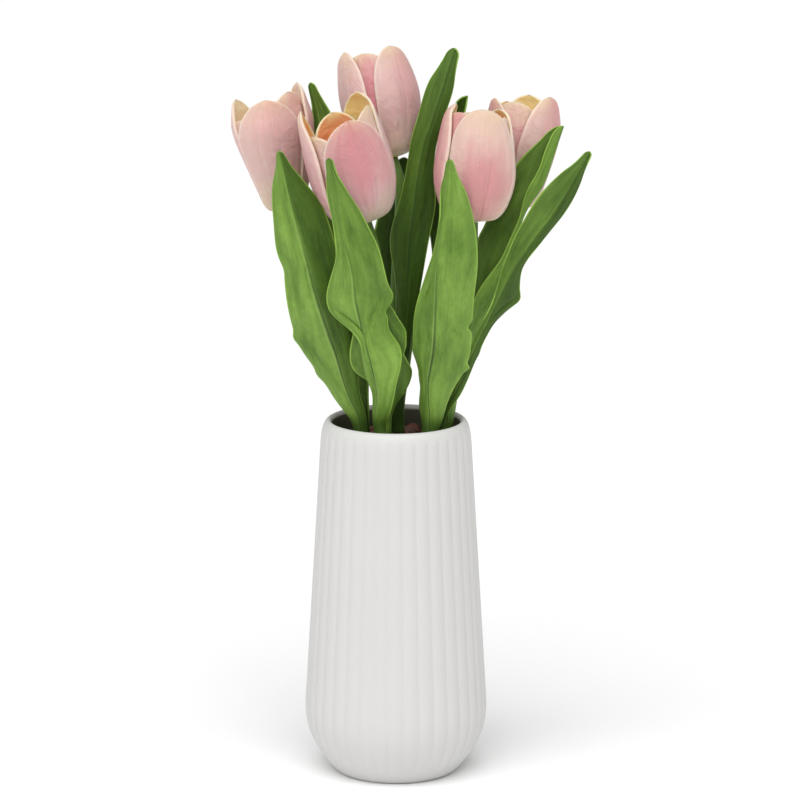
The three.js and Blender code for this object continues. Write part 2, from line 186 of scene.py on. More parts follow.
# ---------------------------------------------------------------- vase
# A slip-cast vessel in white stoneware under a matte glaze, its rounded lip wiped thin. The ribs
# come from the mould: they start just above the foot and die out below the lip.
VASE_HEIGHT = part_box("vase")[1][2]
VASE_RIBS = 36
RIB_DEPTH = 0.0009
SECTIONS_PER_RIB = 12
VASE_FLOOR = 0.008
FOOT_RING = 0.0325
POLE_RADIUS = 0.0002
TAPER_ROWS = 30
RIB_START = 0.005
RIB_END = 0.2045
RIB_FADE = 0.007
# the painted shade inside the mouth, in place of its shadow, reaches up to this height
INSIDE_SHADE_TOP = 0.2052

# The wall as (radius, height): round the foot, straight up the taper, and over the lip.
FOOT_OUTSIDE = [
    (0.0335, 0), (0.0355, 0.0012), (0.0395, 0.0055), (0.044, 0.0115), (0.0484, 0.0195),
    (0.0512, 0.0275), (0.0522, 0.036), (0.0521, 0.0435), (0.0517, 0.05),
]
LIP_OUTSIDE = [
    (0.0434, 0.19), (0.0431, 0.1945), (0.0427, 0.1985), (0.042, 0.202), (0.041, 0.2047),
    (0.0398, 0.2063), (0.0384, VASE_HEIGHT),
]
LIP_INSIDE = [
    (0.0384, VASE_HEIGHT), (0.0373, 0.2062), (0.0367, 0.2045), (0.0367, 0.202), (0.037, 0.199),
    (0.0375, 0.195), (0.0381, 0.19),
]
FOOT_INSIDE = [
    (0.0462, 0.05), (0.0465, 0.043), (0.0464, 0.036), (0.0458, 0.029), (0.0445, 0.0215),
    (0.042, 0.015), (0.0385, 0.0105), (0.034, VASE_FLOOR),
]


def smooth_path(points, samples=1201):
    """Places evenly spaced along a smooth curve through the points (a Catmull-Rom spline)."""
    points = np.array(points, float)
    ends = [2 * points[0] - points[1], 2 * points[-1] - points[-2]]
    points = np.vstack([ends[0], points, ends[1]])
    spread = np.linspace(0, len(points) - 3, samples)
    first = np.minimum(spread.astype(int), len(points) - 4)
    t = (spread - first)[:, None]
    p0, p1, p2, p3 = (points[first + k] for k in range(4))
    curve = 0.5 * (2 * p1 + (p2 - p0) * t + (2 * p0 - 5 * p1 + 4 * p2 - p3) * t ** 2
                   + (3 * p1 - p0 - 3 * p2 + p3) * t ** 3)
    steps = np.linalg.norm(np.diff(curve, axis=0), axis=1)
    lengths = np.concatenate([[0], np.cumsum(steps)])
    even = np.linspace(0, lengths[-1], samples)
    return np.stack([np.interp(even, lengths, curve[:, axis]) for axis in range(curve.shape[1])], axis=1)


def read_path(path, share):
    """The places at a share of a path's length."""
    steps = np.linspace(0, 1, len(path))
    return np.stack([np.interp(share, steps, path[:, axis]) for axis in range(path.shape[1])], axis=-1)


def lathed(profile, sections):
    """Rings of vertices and the quads between them, from (radius, height) read from the bottom up."""
    turns = np.arange(sections) * 2 * math.pi / sections
    vertices = [(r * math.cos(a), r * math.sin(a), z) for r, z in profile for a in turns]
    faces = []
    for ring in range(len(profile) - 1):
        for k in range(sections):
            a, b = ring * sections + k, ring * sections + (k + 1) % sections
            faces.append((a, b, b + sections, a + sections))
    return vertices, faces


def matte_glaze():
    """Matte white glaze on stoneware: soft highlights, and a fine orange-peel surface.

    The inside below the lip is painted dark grey-olive as painted shade, for the shadow deep in the
    mouth.
    """
    material, tree = new_material("matte_glazed_stoneware")
    place = add(tree, "TexCoord").outputs["Object"]
    patches = add(tree, "TexNoise", {"Vector": place, "Scale": 18.0, "Detail": 4.0})
    glaze = add(tree, "Mix", {0: patches, 6: "#CECDCB", 7: "#CAC9C7"}, data_type="RGBA")
    inner = add(tree, "Attribute", attribute_name="shaded_inner_wall").outputs["Fac"]
    # painted shade: below the lip the inner wall is mixed to dark grey-olive, the shadow deep in the
    # mouth
    both = add(tree, "Mix", {0: inner, 6: glaze, 7: "#5B5C4C"}, data_type="RGBA")
    peel = add(tree, "TexNoise", {"Vector": place, "Scale": 900.0, "Detail": 2.0})
    sheen = add(tree, "MapRange", {"Value": patches, "To Min": 0.42, "To Max": 0.55})
    bump = add(tree, "Bump", {"Height": peel, "Strength": 0.12, "Distance": 0.0002})
    finish_material(tree, {
        "Base Color": both, "Roughness": sheen, "Normal": bump, "IOR": 1.5, "Specular IOR Level": 0.4})
    return material


def new_tree(name, sockets):
    """A geometry tree with a Geometry input and output and these named inputs."""
    tree = bpy.data.node_groups.new(name, "GeometryNodeTree")
    tree.interface.new_socket("Geometry", in_out="INPUT", socket_type="NodeSocketGeometry")
    for socket, kind in sockets.items():
        tree.interface.new_socket(socket, in_out="INPUT", socket_type=f"NodeSocket{kind}")
    tree.interface.new_socket("Geometry", in_out="OUTPUT", socket_type="NodeSocketGeometry")
    return tree, add(tree, "NodeGroupInput").outputs


def close_tree(tree, geometry, material):
    """Ends a tree: realised, smooth and with its material."""
    solid = add(tree, "GeometryNodeRealizeInstances", {0: geometry})
    smooth = add(tree, "GeometryNodeSetShadeSmooth", {0: solid})
    finished = add(tree, "GeometryNodeSetMaterial", {0: smooth, "Material": material})
    add(tree, "NodeGroupOutput", {0: finished})


def grown(base, tree, values):
    """Runs a geometry tree on a base object and keeps the result as a plain mesh object."""
    modifier = base.modifiers.new("grow", "NODES")
    modifier.node_group = tree
    for item in tree.interface.items_tree:
        if item.in_out == "INPUT" and item.name in values:
            modifier[item.identifier] = values[item.name]
    scene_now = bpy.context.evaluated_depsgraph_get()
    mesh = bpy.data.meshes.new_from_object(base.evaluated_get(scene_now))
    base.modifiers.remove(modifier)
    base.data = mesh
    return base


def rib_tree():
    """Presses the valleys between the ribs into the outer wall, fading out at both ends."""
    tree, given = new_tree("mould_ribs", {
        "Ribs": "Int", "Rib Depth": "Float", "Fade In": "Float", "Fade Out": "Float",
        "Fade Length": "Float", "Material": "Material"})
    spot = add(tree, "SeparateXYZ", {0: add(tree, "GeometryNodeInputPosition")}).outputs
    turn = add(tree, "Math", {0: spot[1], 1: spot[0]}, operation="ARCTAN2")

    # a round crest for each rib and a narrow valley on either side of it
    halves = add(tree, "Math", {0: given["Ribs"], 1: 0.5}, operation="MULTIPLY")
    phase = add(tree, "Math", {0: turn, 1: halves}, operation="MULTIPLY")
    wave = add(tree, "Math", {0: phase}, operation="COSINE")
    crest = add(tree, "Math", {0: wave, 1: 2.0}, operation="POWER")
    rounded = add(tree, "Math", {0: crest, 1: 0.012}, operation="ADD")
    dome = add(tree, "Math", {0: rounded, 1: 0.32}, operation="POWER")
    valley = add(tree, "Math", {0: 1.0, 1: dome}, operation="SUBTRACT", use_clamp=True)

    # how far the valleys have faded in above the foot and out below the lip
    fades = []
    for end, way in (("Fade In", "ADD"), ("Fade Out", "SUBTRACT")):
        full = add(tree, "Math", {0: given[end], 1: given["Fade Length"]}, operation=way)
        fades.append(add(tree, "MapRange", {
            "Value": spot[2], "From Min": given[end], "From Max": full},
            interpolation_type="SMOOTHSTEP"))
    outer = add(tree, "GeometryNodeInputNamedAttribute", {"Name": "outer_wall"}, data_type="FLOAT")
    depth = given["Rib Depth"]
    for factor in (valley, *fades, outer):
        depth = add(tree, "Math", {0: depth, 1: factor}, operation="MULTIPLY")

    inward = add(tree, "Math", {0: depth, 1: -1.0}, operation="MULTIPLY")
    flat = add(tree, "CombineXYZ", {0: spot[0], 1: spot[1]})
    radial = add(tree, "VectorMath", {0: flat}, operation="NORMALIZE")
    push = add(tree, "VectorMath", {0: radial, "Scale": inward}, operation="SCALE")
    ribbed = add(tree, "GeometryNodeSetPosition", {0: given["Geometry"], "Offset": push})
    close_tree(tree, ribbed, given["Material"])
    return tree


def capped(profile, sections, start=0):
    """A lathed solid closed at both ends, its first vertex numbered start."""
    vertices, faces = lathed(profile, sections)
    faces.append(tuple(reversed(range(sections))))
    faces.append(tuple(range(len(vertices) - sections, len(vertices))))
    return vertices, [tuple(start + k for k in face) for face in faces]


def wall_rows(first, first_rows, second, second_rows):
    """One face of the wall: a curve, the straight taper and the other curve."""
    rows = list(read_path(smooth_path(first), np.linspace(0, 1, first_rows)))
    start, end = rows[-1], np.array(second[0])
    rows += [start + (end - start) * k / TAPER_ROWS for k in range(1, TAPER_ROWS)]
    return rows + list(read_path(smooth_path(second), np.linspace(0, 1, second_rows)))


def ribbed_vase():
    """The outer and inner wall as one closed shell, with the ribs pressed into the outer one."""
    outside = [(POLE_RADIUS, 0), (FOOT_RING, 0), *wall_rows(FOOT_OUTSIDE, 30, LIP_OUTSIDE, 24)]
    inside = [*wall_rows(LIP_INSIDE, 16, FOOT_INSIDE, 14)[1:], (POLE_RADIUS, VASE_FLOOR)]
    sections = VASE_RIBS * SECTIONS_PER_RIB
    vertices, faces = capped(outside + inside, sections)
    vase = new_mesh("ribbed_vase", vertices, faces, matte_glaze())
    on_outside = np.arange(len(vertices)) < len(outside) * sections
    heights = np.array(vertices)[:, 2]
    # the inner wall below that height carries the painted shade of the mouth
    shaded_inside = ~on_outside & (heights < INSIDE_SHADE_TOP)
    for wall, belongs in (("outer_wall", on_outside), ("shaded_inner_wall", shaded_inside)):
        mark = vase.data.attributes.new(wall, "FLOAT", "POINT")
        mark.data.foreach_set("value", belongs.astype(float))
    return grown(vase, rib_tree(), {
        "Ribs": VASE_RIBS, "Rib Depth": RIB_DEPTH, "Fade In": RIB_START, "Fade Out": RIB_END,
        "Fade Length": RIB_FADE, "Material": vase.data.materials[0]})


vase = ribbed_vase()
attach(vase, "root")
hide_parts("vase")


# ---------------------------------------------------------------- floral foam
# A block of dry green phenolic foam, cut round and pressed into the vase. It keeps the packed
# shape, because only the pebbles above it can be seen.
def dry_foam():
    """Dull green foam with fine open cells."""
    material, tree = new_material("dry_floral_foam")
    place = add(tree, "TexCoord").outputs["Object"]
    cells = add(tree, "TexVoronoi", {"Vector": place, "Scale": 900.0})
    tone = add(tree, "Mix", {0: cells, 6: "#3F4F27", 7: "#6C7F45"}, data_type="RGBA")
    bump = add(tree, "Bump", {"Height": cells, "Strength": 0.5, "Distance": 0.0004})
    finish_material(tree, {
        "Base Color": tone, "Roughness": 0.95, "Normal": bump, "Specular IOR Level": 0.1})
    return material


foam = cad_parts["floral_foam"]
foam.data.materials.clear()
foam.data.materials.append(dry_foam())


# ---------------------------------------------------------------- stems
# Five round, gently curved stalks of a foam-filled plastic skin, pushed into the foam block.
# Each one's last stretch runs along its flower's axis.
GAP = 0.0003
STEM_RADIUS = 0.0032
STEM_RUN_UP = 0.022
STEM_ROWS = 90
STEM_SIDES = 28

# A flower has the middle of its base and of its top, its greatest radius, four shares that give
# its outline, its stem's lower points, and its petals. A petal has its azimuth in degrees (0 faces
# the viewer, 90 faces right), how far up the outline it reaches, and its share of the usual width.
TULIPS = {
    "left": {
        "base": (-0.062, 0.008, 0.326), "top": (-0.073, 0.012, 0.394), "radius": 0.022,
        "outline": (0.5, 0.64, 0.92, 0.78),
        "stem": [
            (-0.013, -0.004, 0.128), (-0.019, -0.008, 0.199), (-0.024, -0.008, 0.225),
            (-0.042, -0.003, 0.272),
        ],
        "outer": [(-3, 0.93, 1.15), (108, 1, 1), (-112, 0.94, 1)],
        "inner": [(-62, 0.8, 1), (46, 0.97, 1), (185, 0.88, 1)],
    },
    "middle": {
        "base": (-0.017, -0.018, 0.325), "top": (-0.035, -0.022, 0.391), "radius": 0.0237,
        "outline": (0.82, 0.42, 0.88, 0.7),
        "stem": [
            (-0.004, -0.01, 0.128), (-0.007, -0.015, 0.199), (-0.009, -0.014, 0.225),
            (-0.011, -0.014, 0.268),
        ],
        "outer": [(18, 0.89, 1.15), (128, 1, 1.15), (-88, 1, 1)],
        "inner": [(72, 0.93, 1.15), (188, 0.88, 1), (-46, 0.83, 1)],
    },
    "top": {
        "base": (-0.002, 0.022, 0.354), "top": (-0.015, 0.037, 0.413), "radius": 0.022,
        "outline": (0.64, 0.5, 0.84, 0.6),
        "stem": [
            (0.003, 0.004, 0.128), (0.001, 0.006, 0.199), (0, 0.007, 0.225), (0, 0.014, 0.28),
        ],
        "outer": [(43, 0.96, 0.92), (160, 0.92, 1), (-66, 1, 0.95)],
        "inner": [(-18, 0.96, 1), (100, 0.9, 1), (220, 0.9, 1)],
    },
    "right": {
        "base": (0.043, -0.016, 0.324), "top": (0.046, -0.008, 0.388), "radius": 0.0227,
        "outline": (0.82, 0.42, 0.76, 0.4),
        "stem": [
            (0.011, -0.008, 0.128), (0.019, -0.014, 0.199), (0.022, -0.014, 0.225),
            (0.034, -0.016, 0.27),
        ],
        "outer": [(10, 0.95, 1.1), (128, 0.95, 1), (-96, 1, 1)],
        "inner": [(-44, 0.94, 1), (76, 0.9, 1), (195, 0.93, 1)],
    },
    "far_right": {
        "base": (0.068, 0.024, 0.325), "top": (0.074, 0.03, 0.388), "radius": 0.0205,
        "outline": (0.6, 0.62, 0.93, 0.74),
        "stem": [
            (0.016, 0.004, 0.128), (0.027, -0.002, 0.199), (0.031, 0.004, 0.225),
            (0.047, 0.017, 0.268),
        ],
        "outer": [(50, 1, 1), (172, 0.98, 0.95), (-72, 0.94, 1.05)],
        "inner": [(-22, 0.95, 1), (98, 0.93, 1), (-142, 0.92, 1)],
    },
}


def flower_axis(tulip):
    """The flower's base, its axis as a unit vector, and its length."""
    base = np.array(tulip["base"])
    axis = np.array(tulip["top"]) - base
    length = np.linalg.norm(axis)
    return base, axis / length, length


def stem_path(tulip):
    """The stem's middle line, from its foot in the foam to just below the heart."""
    base, axis, _ = flower_axis(tulip)
    return smooth_path([*tulip["stem"], base - STEM_RUN_UP * axis, base - GAP * axis])


def stalk_skin():
    """Satin green plastic skin with faint lengthwise fibres."""
    material, tree = new_material("satin_stalk_skin")
    place = add(tree, "TexCoord").outputs["Object"]
    stretched = add(tree, "Mapping", {"Vector": place, "Scale": (900, 900, 30)})
    fibres = add(tree, "TexNoise", {"Vector": stretched, "Scale": 1.0, "Detail": 3.0})
    tone = add(tree, "Mix", {0: fibres, 6: "#4C6B26", 7: "#6F9140"}, data_type="RGBA")
    bump = add(tree, "Bump", {"Height": fibres, "Strength": 0.25, "Distance": 0.0002})
    finish_material(tree, {
        "Base Color": tone, "Roughness": 0.5, "Normal": bump, "Specular IOR Level": 0.35})
    return material


def rod_tree():
    """Turns a polyline into a round rod with closed ends."""
    tree, given = new_tree("round_rod", {"Radius": "Float", "Sides": "Int", "Material": "Material"})
    line = add(tree, "GeometryNodeMeshToCurve", {0: given["Geometry"]})
    section = add(tree, "GeometryNodeCurvePrimitiveCircle", {
        "Resolution": given["Sides"], "Radius": given["Radius"]}, mode="RADIUS")
    rod = add(tree, "GeometryNodeCurveToMesh", {
        "Curve": line, "Profile Curve": section, "Fill Caps": True})
    close_tree(tree, rod, given["Material"])
    return tree


def loose_points(name, points, edges=()):
    """An object of bare points, or of a line through them, for a tree to grow from."""
    mesh = bpy.data.meshes.new(name)
    mesh.from_pydata([tuple(p) for p in points], edges, [])
    piece = bpy.data.objects.new(name, mesh)
    bpy.context.collection.objects.link(piece)
    return piece


stalk = stalk_skin()
rods = rod_tree()
for name, tulip in TULIPS.items():
    line = read_path(stem_path(tulip), np.linspace(0, 1, STEM_ROWS))
    stem = loose_points(f"stalk_{name}", line, [(i, i + 1) for i in range(STEM_ROWS - 1)])
    grown(stem, rods, {"Radius": STEM_RADIUS, "Sides": STEM_SIDES, "Material": stalk})
    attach(stem, "root")
    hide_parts(f"stem_{name}")


# ---------------------------------------------------------------- pebbles
# Small river pebbles poured over the foam up to just below the lip. They are loose, rounded and
# matte, mostly red-brown, and lie flat side down around the stems.
PEBBLE_WIDTH = 0.0098
PEBBLE_FLATNESS = 0.62
PEBBLE_TOP = 0.198
PEBBLE_REACH = 0.0315
PEBBLE_THROWS = 4000
SHARE_CLEAR_OF_STEM = 0.46
SHARE_APART = 0.8


def pebble_places(height, seed):
    """Random places at one height, most of a pebble's width apart and clear of the stems."""
    stems = [stem_path(tulip) for tulip in TULIPS.values()]
    crossings = [path[np.argmin(abs(path[:, 2] - height))][:2] for path in stems]
    clear = STEM_RADIUS + PEBBLE_WIDTH * SHARE_CLEAR_OF_STEM
    draw = np.random.default_rng(seed)
    kept = []
    for _ in range(PEBBLE_THROWS):
        spot = draw.uniform(-PEBBLE_REACH, PEBBLE_REACH, 2)
        if np.hypot(*spot) > PEBBLE_REACH:
            continue
        if min(np.hypot(*(spot - crossing)) for crossing in crossings) < clear:
            continue
        if all(np.hypot(*(spot - other)) > PEBBLE_WIDTH * SHARE_APART for other in kept):
            kept.append(spot)
    return [(x, y, height) for x, y in kept]


def river_pebble():
    """Unpolished sedimentary stone: dusty red-brown to grey-brown, speckled."""
    material, tree = new_material("river_pebble")
    place = add(tree, "TexCoord").outputs["Object"]
    stones = add(tree, "TexNoise", {"Vector": place, "Scale": 95.0, "Detail": 1.0})
    speckle = add(tree, "TexNoise", {"Vector": place, "Scale": 1800.0, "Detail": 4.0})
    tone = add(tree, "ValToRGB", {0: stones})
    set_stops(tone, [(0.36, "#5A4036"), (0.5, "#7A4A38"), (0.64, "#8A7464")])
    mixed = add(tree, "Mix", {0: speckle, 6: tone, 7: "#9A8878"},
                data_type="RGBA", blend_type="SOFT_LIGHT")
    bump = add(tree, "Bump", {"Height": speckle, "Strength": 0.3, "Distance": 0.0002})
    finish_material(tree, {"Base Color": mixed, "Roughness": 0.75, "Normal": bump})
    return material


def pebble_tree():
    """A rounded stone on each point, each one turned, sized and dented differently."""
    tree, given = new_tree("poured_pebbles", {
        "Width": "Float", "Flatness": "Float", "Seed": "Int", "Material": "Material"})
    ball = add(tree, "GeometryNodeMeshIcoSphere", {"Radius": 0.5, "Subdivisions": 4})
    size = add(tree, "FunctionNodeRandomValue", {
        2: 0.85, 3: 1.1, "Seed": given["Seed"]}, data_type="FLOAT")
    width = add(tree, "Math", {0: size, 1: given["Width"]}, operation="MULTIPLY")
    slim = add(tree, "Math", {0: width, 1: 0.82}, operation="MULTIPLY")
    height = add(tree, "Math", {0: width, 1: given["Flatness"]}, operation="MULTIPLY")
    scale = add(tree, "CombineXYZ", {0: width, 1: slim, 2: height})
    turn = add(tree, "FunctionNodeRandomValue", {
        0: (-0.2, -0.2, 0), 1: (0.2, 0.2, math.tau), "Seed": given["Seed"]}, data_type="FLOAT_VECTOR")
    stones = add(tree, "GeometryNodeInstanceOnPoints", {
        "Points": given["Geometry"], "Instance": ball, "Rotation": turn, "Scale": scale})
    solid = add(tree, "GeometryNodeRealizeInstances", {0: stones})
    dents = add(tree, "TexNoise", {"Scale": 260.0, "Detail": 0.0, "Roughness": 0.2})
    centred = add(tree, "VectorMath", {
        0: dents.outputs["Color"], 1: (0.5, 0.5, 0.5)}, operation="SUBTRACT")
    push = add(tree, "VectorMath", {0: centred, "Scale": 0.0022}, operation="SCALE")
    dented = add(tree, "GeometryNodeSetPosition", {0: solid, "Offset": push})
    close_tree(tree, dented, given["Material"])
    return tree


pebble_height = PEBBLE_WIDTH * PEBBLE_FLATNESS
top_layer = PEBBLE_TOP - pebble_height * 0.6
second_layer = top_layer - pebble_height * 0.75
places = pebble_places(top_layer, seed=3) + pebble_places(second_layer, seed=8)
pebbles = loose_points("pebbles", places)
grown(pebbles, pebble_tree(), {
    "Width": PEBBLE_WIDTH, "Flatness": PEBBLE_FLATNESS, "Seed": 5, "Material": river_pebble()})
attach(pebbles, "root")
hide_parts("pebble_bed")


# ---------------------------------------------------------------- hearts of the flowers
# Inside each flower: a fleshy green receptacle at the end of the stalk, the pistil with its
# broad round stigma on it, and six stamens with long anthers around the pistil.
HEART_RADIUS = 0.0044
HEART_SIDES = 24
STAMEN_COUNT = 6
STAMEN_SIDES = 10
STAMEN_LENGTH = 0.017
STAMEN_LEAN = math.radians(14)
STAMEN_FOOT = Vector((0.0026, 0, 0.004))

HEART_PROFILE = [
    (0.0001, 0), (0.0030, 0), (0.0041, 0.0005), (HEART_RADIUS, 0.0014), (HEART_RADIUS, 0.0042),
    (0.0040, 0.0050), (0.0029, 0.0060), (0.0024, 0.0080), (0.0022, 0.0130), (0.0023, 0.0190),
    (0.0033, 0.0215), (0.0034, 0.0228), (0.0024, 0.0244), (0.0001, 0.0248),
]
STAMEN_PROFILE = [
    (0.0001, 0), (0.0007, 0.0002), (0.0007, 0.0085), (0.0013, 0.0095), (0.0014, 0.0140),
    (0.0011, 0.0165), (0.0001, STAMEN_LENGTH),
]


def pistil_green():
    """Waxy pale yellow-green tissue, dusted with yellow pollen."""
    material, tree = new_material("waxy_pistil")
    place = add(tree, "TexCoord").outputs["Object"]
    powder = add(tree, "TexNoise", {"Vector": place, "Scale": 1500.0, "Detail": 2.0})
    tone = add(tree, "Mix", {0: powder, 6: "#B5B75A", 7: "#E0C46A"}, data_type="RGBA")
    bump = add(tree, "Bump", {"Height": powder, "Strength": 0.4, "Distance": 0.0002})
    finish_material(tree, {"Base Color": tone, "Roughness": 0.6, "Normal": bump})
    return material


def heart_mesh(tulip):
    """The heart's parts, standing on the flower's base along its axis."""
    vertices, faces = capped(HEART_PROFILE, HEART_SIDES)
    for k in range(STAMEN_COUNT):
        stamen, its_faces = capped(STAMEN_PROFILE, STAMEN_SIDES, len(vertices))
        lean = Quaternion((0, 1, 0), STAMEN_LEAN)
        turn = Quaternion((0, 0, 1), k * math.tau / STAMEN_COUNT)
        vertices += [turn @ (lean @ Vector(v) + STAMEN_FOOT) for v in stamen]
        faces += its_faces
    base, axis, _ = flower_axis(tulip)
    upright = Vector((0, 0, 1)).rotation_difference(Vector(axis))
    return [Vector(base) + upright @ Vector(v) for v in vertices], faces


waxy = pistil_green()
for name, tulip in TULIPS.items():
    heart = new_mesh(f"pistil_and_stamens_{name}", *heart_mesh(tulip), waxy)
    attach(heart, "root")
    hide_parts(f"heart_{name}")


# ---------------------------------------------------------------- petals
# Each flower has three outer and three inner petals of soft moulded foam with a satin skin,
# thickest in the middle and rolled at the rim. They are tinted by airbrush: pink outside with a
# deeper flush and cream rims, and orange, yellow or pale inside.
PETAL_MIDDLE = 0.0018
PETAL_RIM = 0.0015
PETAL_CELLS = (60, 60)
WHORL_STEP = 0.0024
PETAL_FOOT = 0.0012
PETAL_HALF_WIDTH = 0.0185
PETAL_BASE_HALF_WIDTH = 0.0026
PETAL_LEAST_WIDTH = 0.0004
WIDEST_WRAP = math.radians(57)
RIM_OVERLAP = 0.0009
RIM_TURN_IN = 0.0005
PETAL_RIPPLE = 0.00035
TIP_FLARE = 0.0004
HEART_CLEARANCE = 0.0005

# How each petal is tinted outside, outer ones first: how deep its flush is, where the flush lies
# (across, along), and how far it reaches along.
FLUSH = {
    "left": {
        "outer": [(0.25, 0.5, 0.85, 0.5), (0.5, 0, 0.6, 0.6), (0.3, 0, 0.4, 0.6)],
        "inner": [(0.5, 0, 0.6, 0.5), (0.35, 0.3, 0.75, 0.5), (0.4, 0, 0.6, 0.5)],
    },
    "middle": {
        "outer": [(0.64, 0, 0.76, 0.5), (0.3, 0, 0.5, 0.5), (0.6, 0.1, 0.35, 0.6)],
        "inner": [(0, 0, 0.5, 0.5), (0.3, 0, 0.6, 0.5), (0.2, 0, 0.6, 0.5)],
    },
    "top": {
        "outer": [(0.32, 0.5, 0.62, 0.6), (0.4, 0, 0.6, 0.5), (0.05, 0, 0.6, 0.7)],
        "inner": [(0.72, 0.1, 0.5, 0.6), (0.5, 0, 0.6, 0.5), (0.5, 0, 0.6, 0.5)],
    },
    "right": {
        "outer": [(0.6, 0, 0.36, 0.45), (0.4, 0, 0.5, 0.5), (0.8, 0, 0.5, 0.9)],
        "inner": [(0.6, 0, 0.85, 0.6), (0.4, 0, 0.6, 0.5), (0.4, 0, 0.6, 0.5)],
    },
    "far_right": {
        "outer": [(0.5, 0.6, 0.8, 0.4), (0.4, 0, 0.5, 0.5), (0.5, 0, 0.8, 0.6)],
        "inner": [(0.6, 0, 0.4, 0.5), (0.5, 0, 0.6, 0.5), (0.4, 0, 0.6, 0.5)],
    },
}

# The inside of the outer and inner petals: 0 is pink, 0.3 cream, 0.6 yellow and 1 orange.
GLOW = {
    "left": {"outer": (0.9, 0.05, 0.3), "inner": (0.7, 0.3, 0.6)},
    "middle": {"outer": (0.9, 0.55, 0.75), "inner": (0.5, 1, 0.9)},
    "top": {"outer": (0.6, 0.6, 0.4), "inner": (0.6, 0.6, 0.6)},
    "right": {"outer": (0.8, 0.95, 0.4), "inner": (0.5, 0.5, 0.4)},
    "far_right": {"outer": (0.7, 0.5, 0.7), "inner": (0.6, 0.7, 0.7)},
}

# How warm the outside of each flower is, and which rim of each petal lies outside: 1 the one to the
# viewer's right on a petal that faces the viewer, -1 the other.
WARMTH = {"left": 0.25, "middle": 0.1, "top": 0.15, "right": 0.5, "far_right": 0.3}
OUTER_RIM = {"left": -1, "middle": 1, "top": 1, "right": 1, "far_right": -1}

# Sharp creases in single petals: where each crosses (across, along), how far across it runs per
# length, how long it is, and how deep.
CREASES = {
    ("right", "outer", 1): [(0.02, 0.33, 0.35, 0.26, 0.0006), (0.16, 0.36, 0.35, 0.24, 0.0007)],
    ("left", "outer", 1): [(0.45, 0.66, -2.6, 0.09, 0.0007), (0.2, 0.5, 0.3, 0.2, 0.0004)],
    ("middle", "outer", 1): [(0.05, 0.3, 0.5, 0.25, 0.0005), (0.25, 0.35, 0.5, 0.2, 0.0004)],
    ("top", "outer", 1): [(0.3, 0.3, -0.5, 0.2, 0.0005)],
    ("far_right", "outer", 1): [(-0.3, 0.6, -1.2, 0.12, 0.0005)],
}
CREASE_REACH = 0.035


def bump_at(x, centre, reach):
    """A smooth hill of height 1 at the centre, as wide as twice the reach."""
    return np.exp(-((x - centre) / reach) ** 2)


def smooth_rise(x, low, high):
    """0 below low, 1 above high, and smooth between them."""
    t = np.clip((x - low) / (high - low), 0, 1)
    return t * t * (3 - 2 * t)


def petal_half_width(along):
    """Round-shouldered, and widest above the middle."""
    shifted = along ** 1.25
    blade = np.sqrt(np.maximum(4 * shifted * (1 - shifted), 0)) ** 1.25
    return PETAL_HALF_WIDTH * blade + PETAL_BASE_HALF_WIDTH * (1 - along) ** 2 + PETAL_LEAST_WIDTH


def bud_outline(tulip, length):
    """How a petal's middle line runs: its distance beyond the heart and its height."""
    low, belly, shoulder, tip = tulip["outline"]
    shares = [(0, 0), (0.6 * low, 0.03), (low, 0.16), (1, belly), (shoulder, 0.87), (tip, 1)]
    start = HEART_RADIUS + GAP + HEART_CLEARANCE
    return smooth_path([(start + r * (tulip["radius"] - start), 0, h * length) for r, h in shares])


def petal_surface(tulip, petal, inset, overlap, creases, seed):
    """The petal's middle surface as a function of across (-1..1) and along (0..1).

    Its hollows are how deep, where across, how broad, where along and how long.
    """
    azimuth, share, wide = petal
    base, axis, length = flower_axis(tulip)
    outline = bud_outline(tulip, length)
    slopes = np.gradient(outline, axis=0)
    slopes /= np.linalg.norm(slopes, axis=1)[:, None]
    start = outline[0, 0]
    upright = Vector((0, 0, 1)).rotation_difference(Vector(axis))
    turn = upright @ Quaternion((0, 0, 1), math.radians(azimuth - 90))
    frame_axes = np.array(turn.to_matrix())
    draw = np.random.default_rng(seed)
    lean, phase, crease = draw.uniform(-0.25, 0.25), draw.uniform(0, math.tau), draw.uniform(-0.5, 0.5)
    hollows = [
        (0.0007, lean * 0.3, 0.16, 0.2, 0.3), (0.0006, crease, 0.07, 0.6, 0.28),
        (0.0005, -0.6 * crease, 0.06, 0.35, 0.25),
    ]

    def surface(across, along):
        middle = read_path(outline, along * share)
        slope = read_path(slopes, along * share)
        reach = start + np.maximum(middle[..., 0] - start - slope[..., 2] * inset, 0)
        turned = across * np.minimum(wide * petal_half_width(along) / reach, WIDEST_WRAP)
        body = np.sin(np.pi * np.clip(along, 0, 1)) ** 0.7
        relief = RIM_OVERLAP * overlap * across * np.abs(across) * body
        for depth, centre, breadth, place, stretch in hollows:
            relief -= depth * bump_at(across, centre, breadth) * bump_at(along, place, stretch) * body
        relief -= RIM_TURN_IN * np.abs(across) ** 3 * body
        relief += PETAL_RIPPLE * np.sin(5 * across + 3 * along + phase) * body
        relief += TIP_FLARE * smooth_rise(along, 0.86, 1.0) * (1 - 0.6 * np.abs(across))
        for centre, place, slant, stretch, depth in creases:
            off_line = across - centre - slant * (along - place)
            relief -= depth * bump_at(off_line, 0, CREASE_REACH) * bump_at(along, place, stretch)
        reach = reach + relief
        height = middle[..., 2] + slope[..., 0] * inset + PETAL_FOOT
        local = np.stack([reach * np.cos(turned), reach * np.sin(turned), height], axis=-1)
        return base + local @ frame_axes.T

    return surface


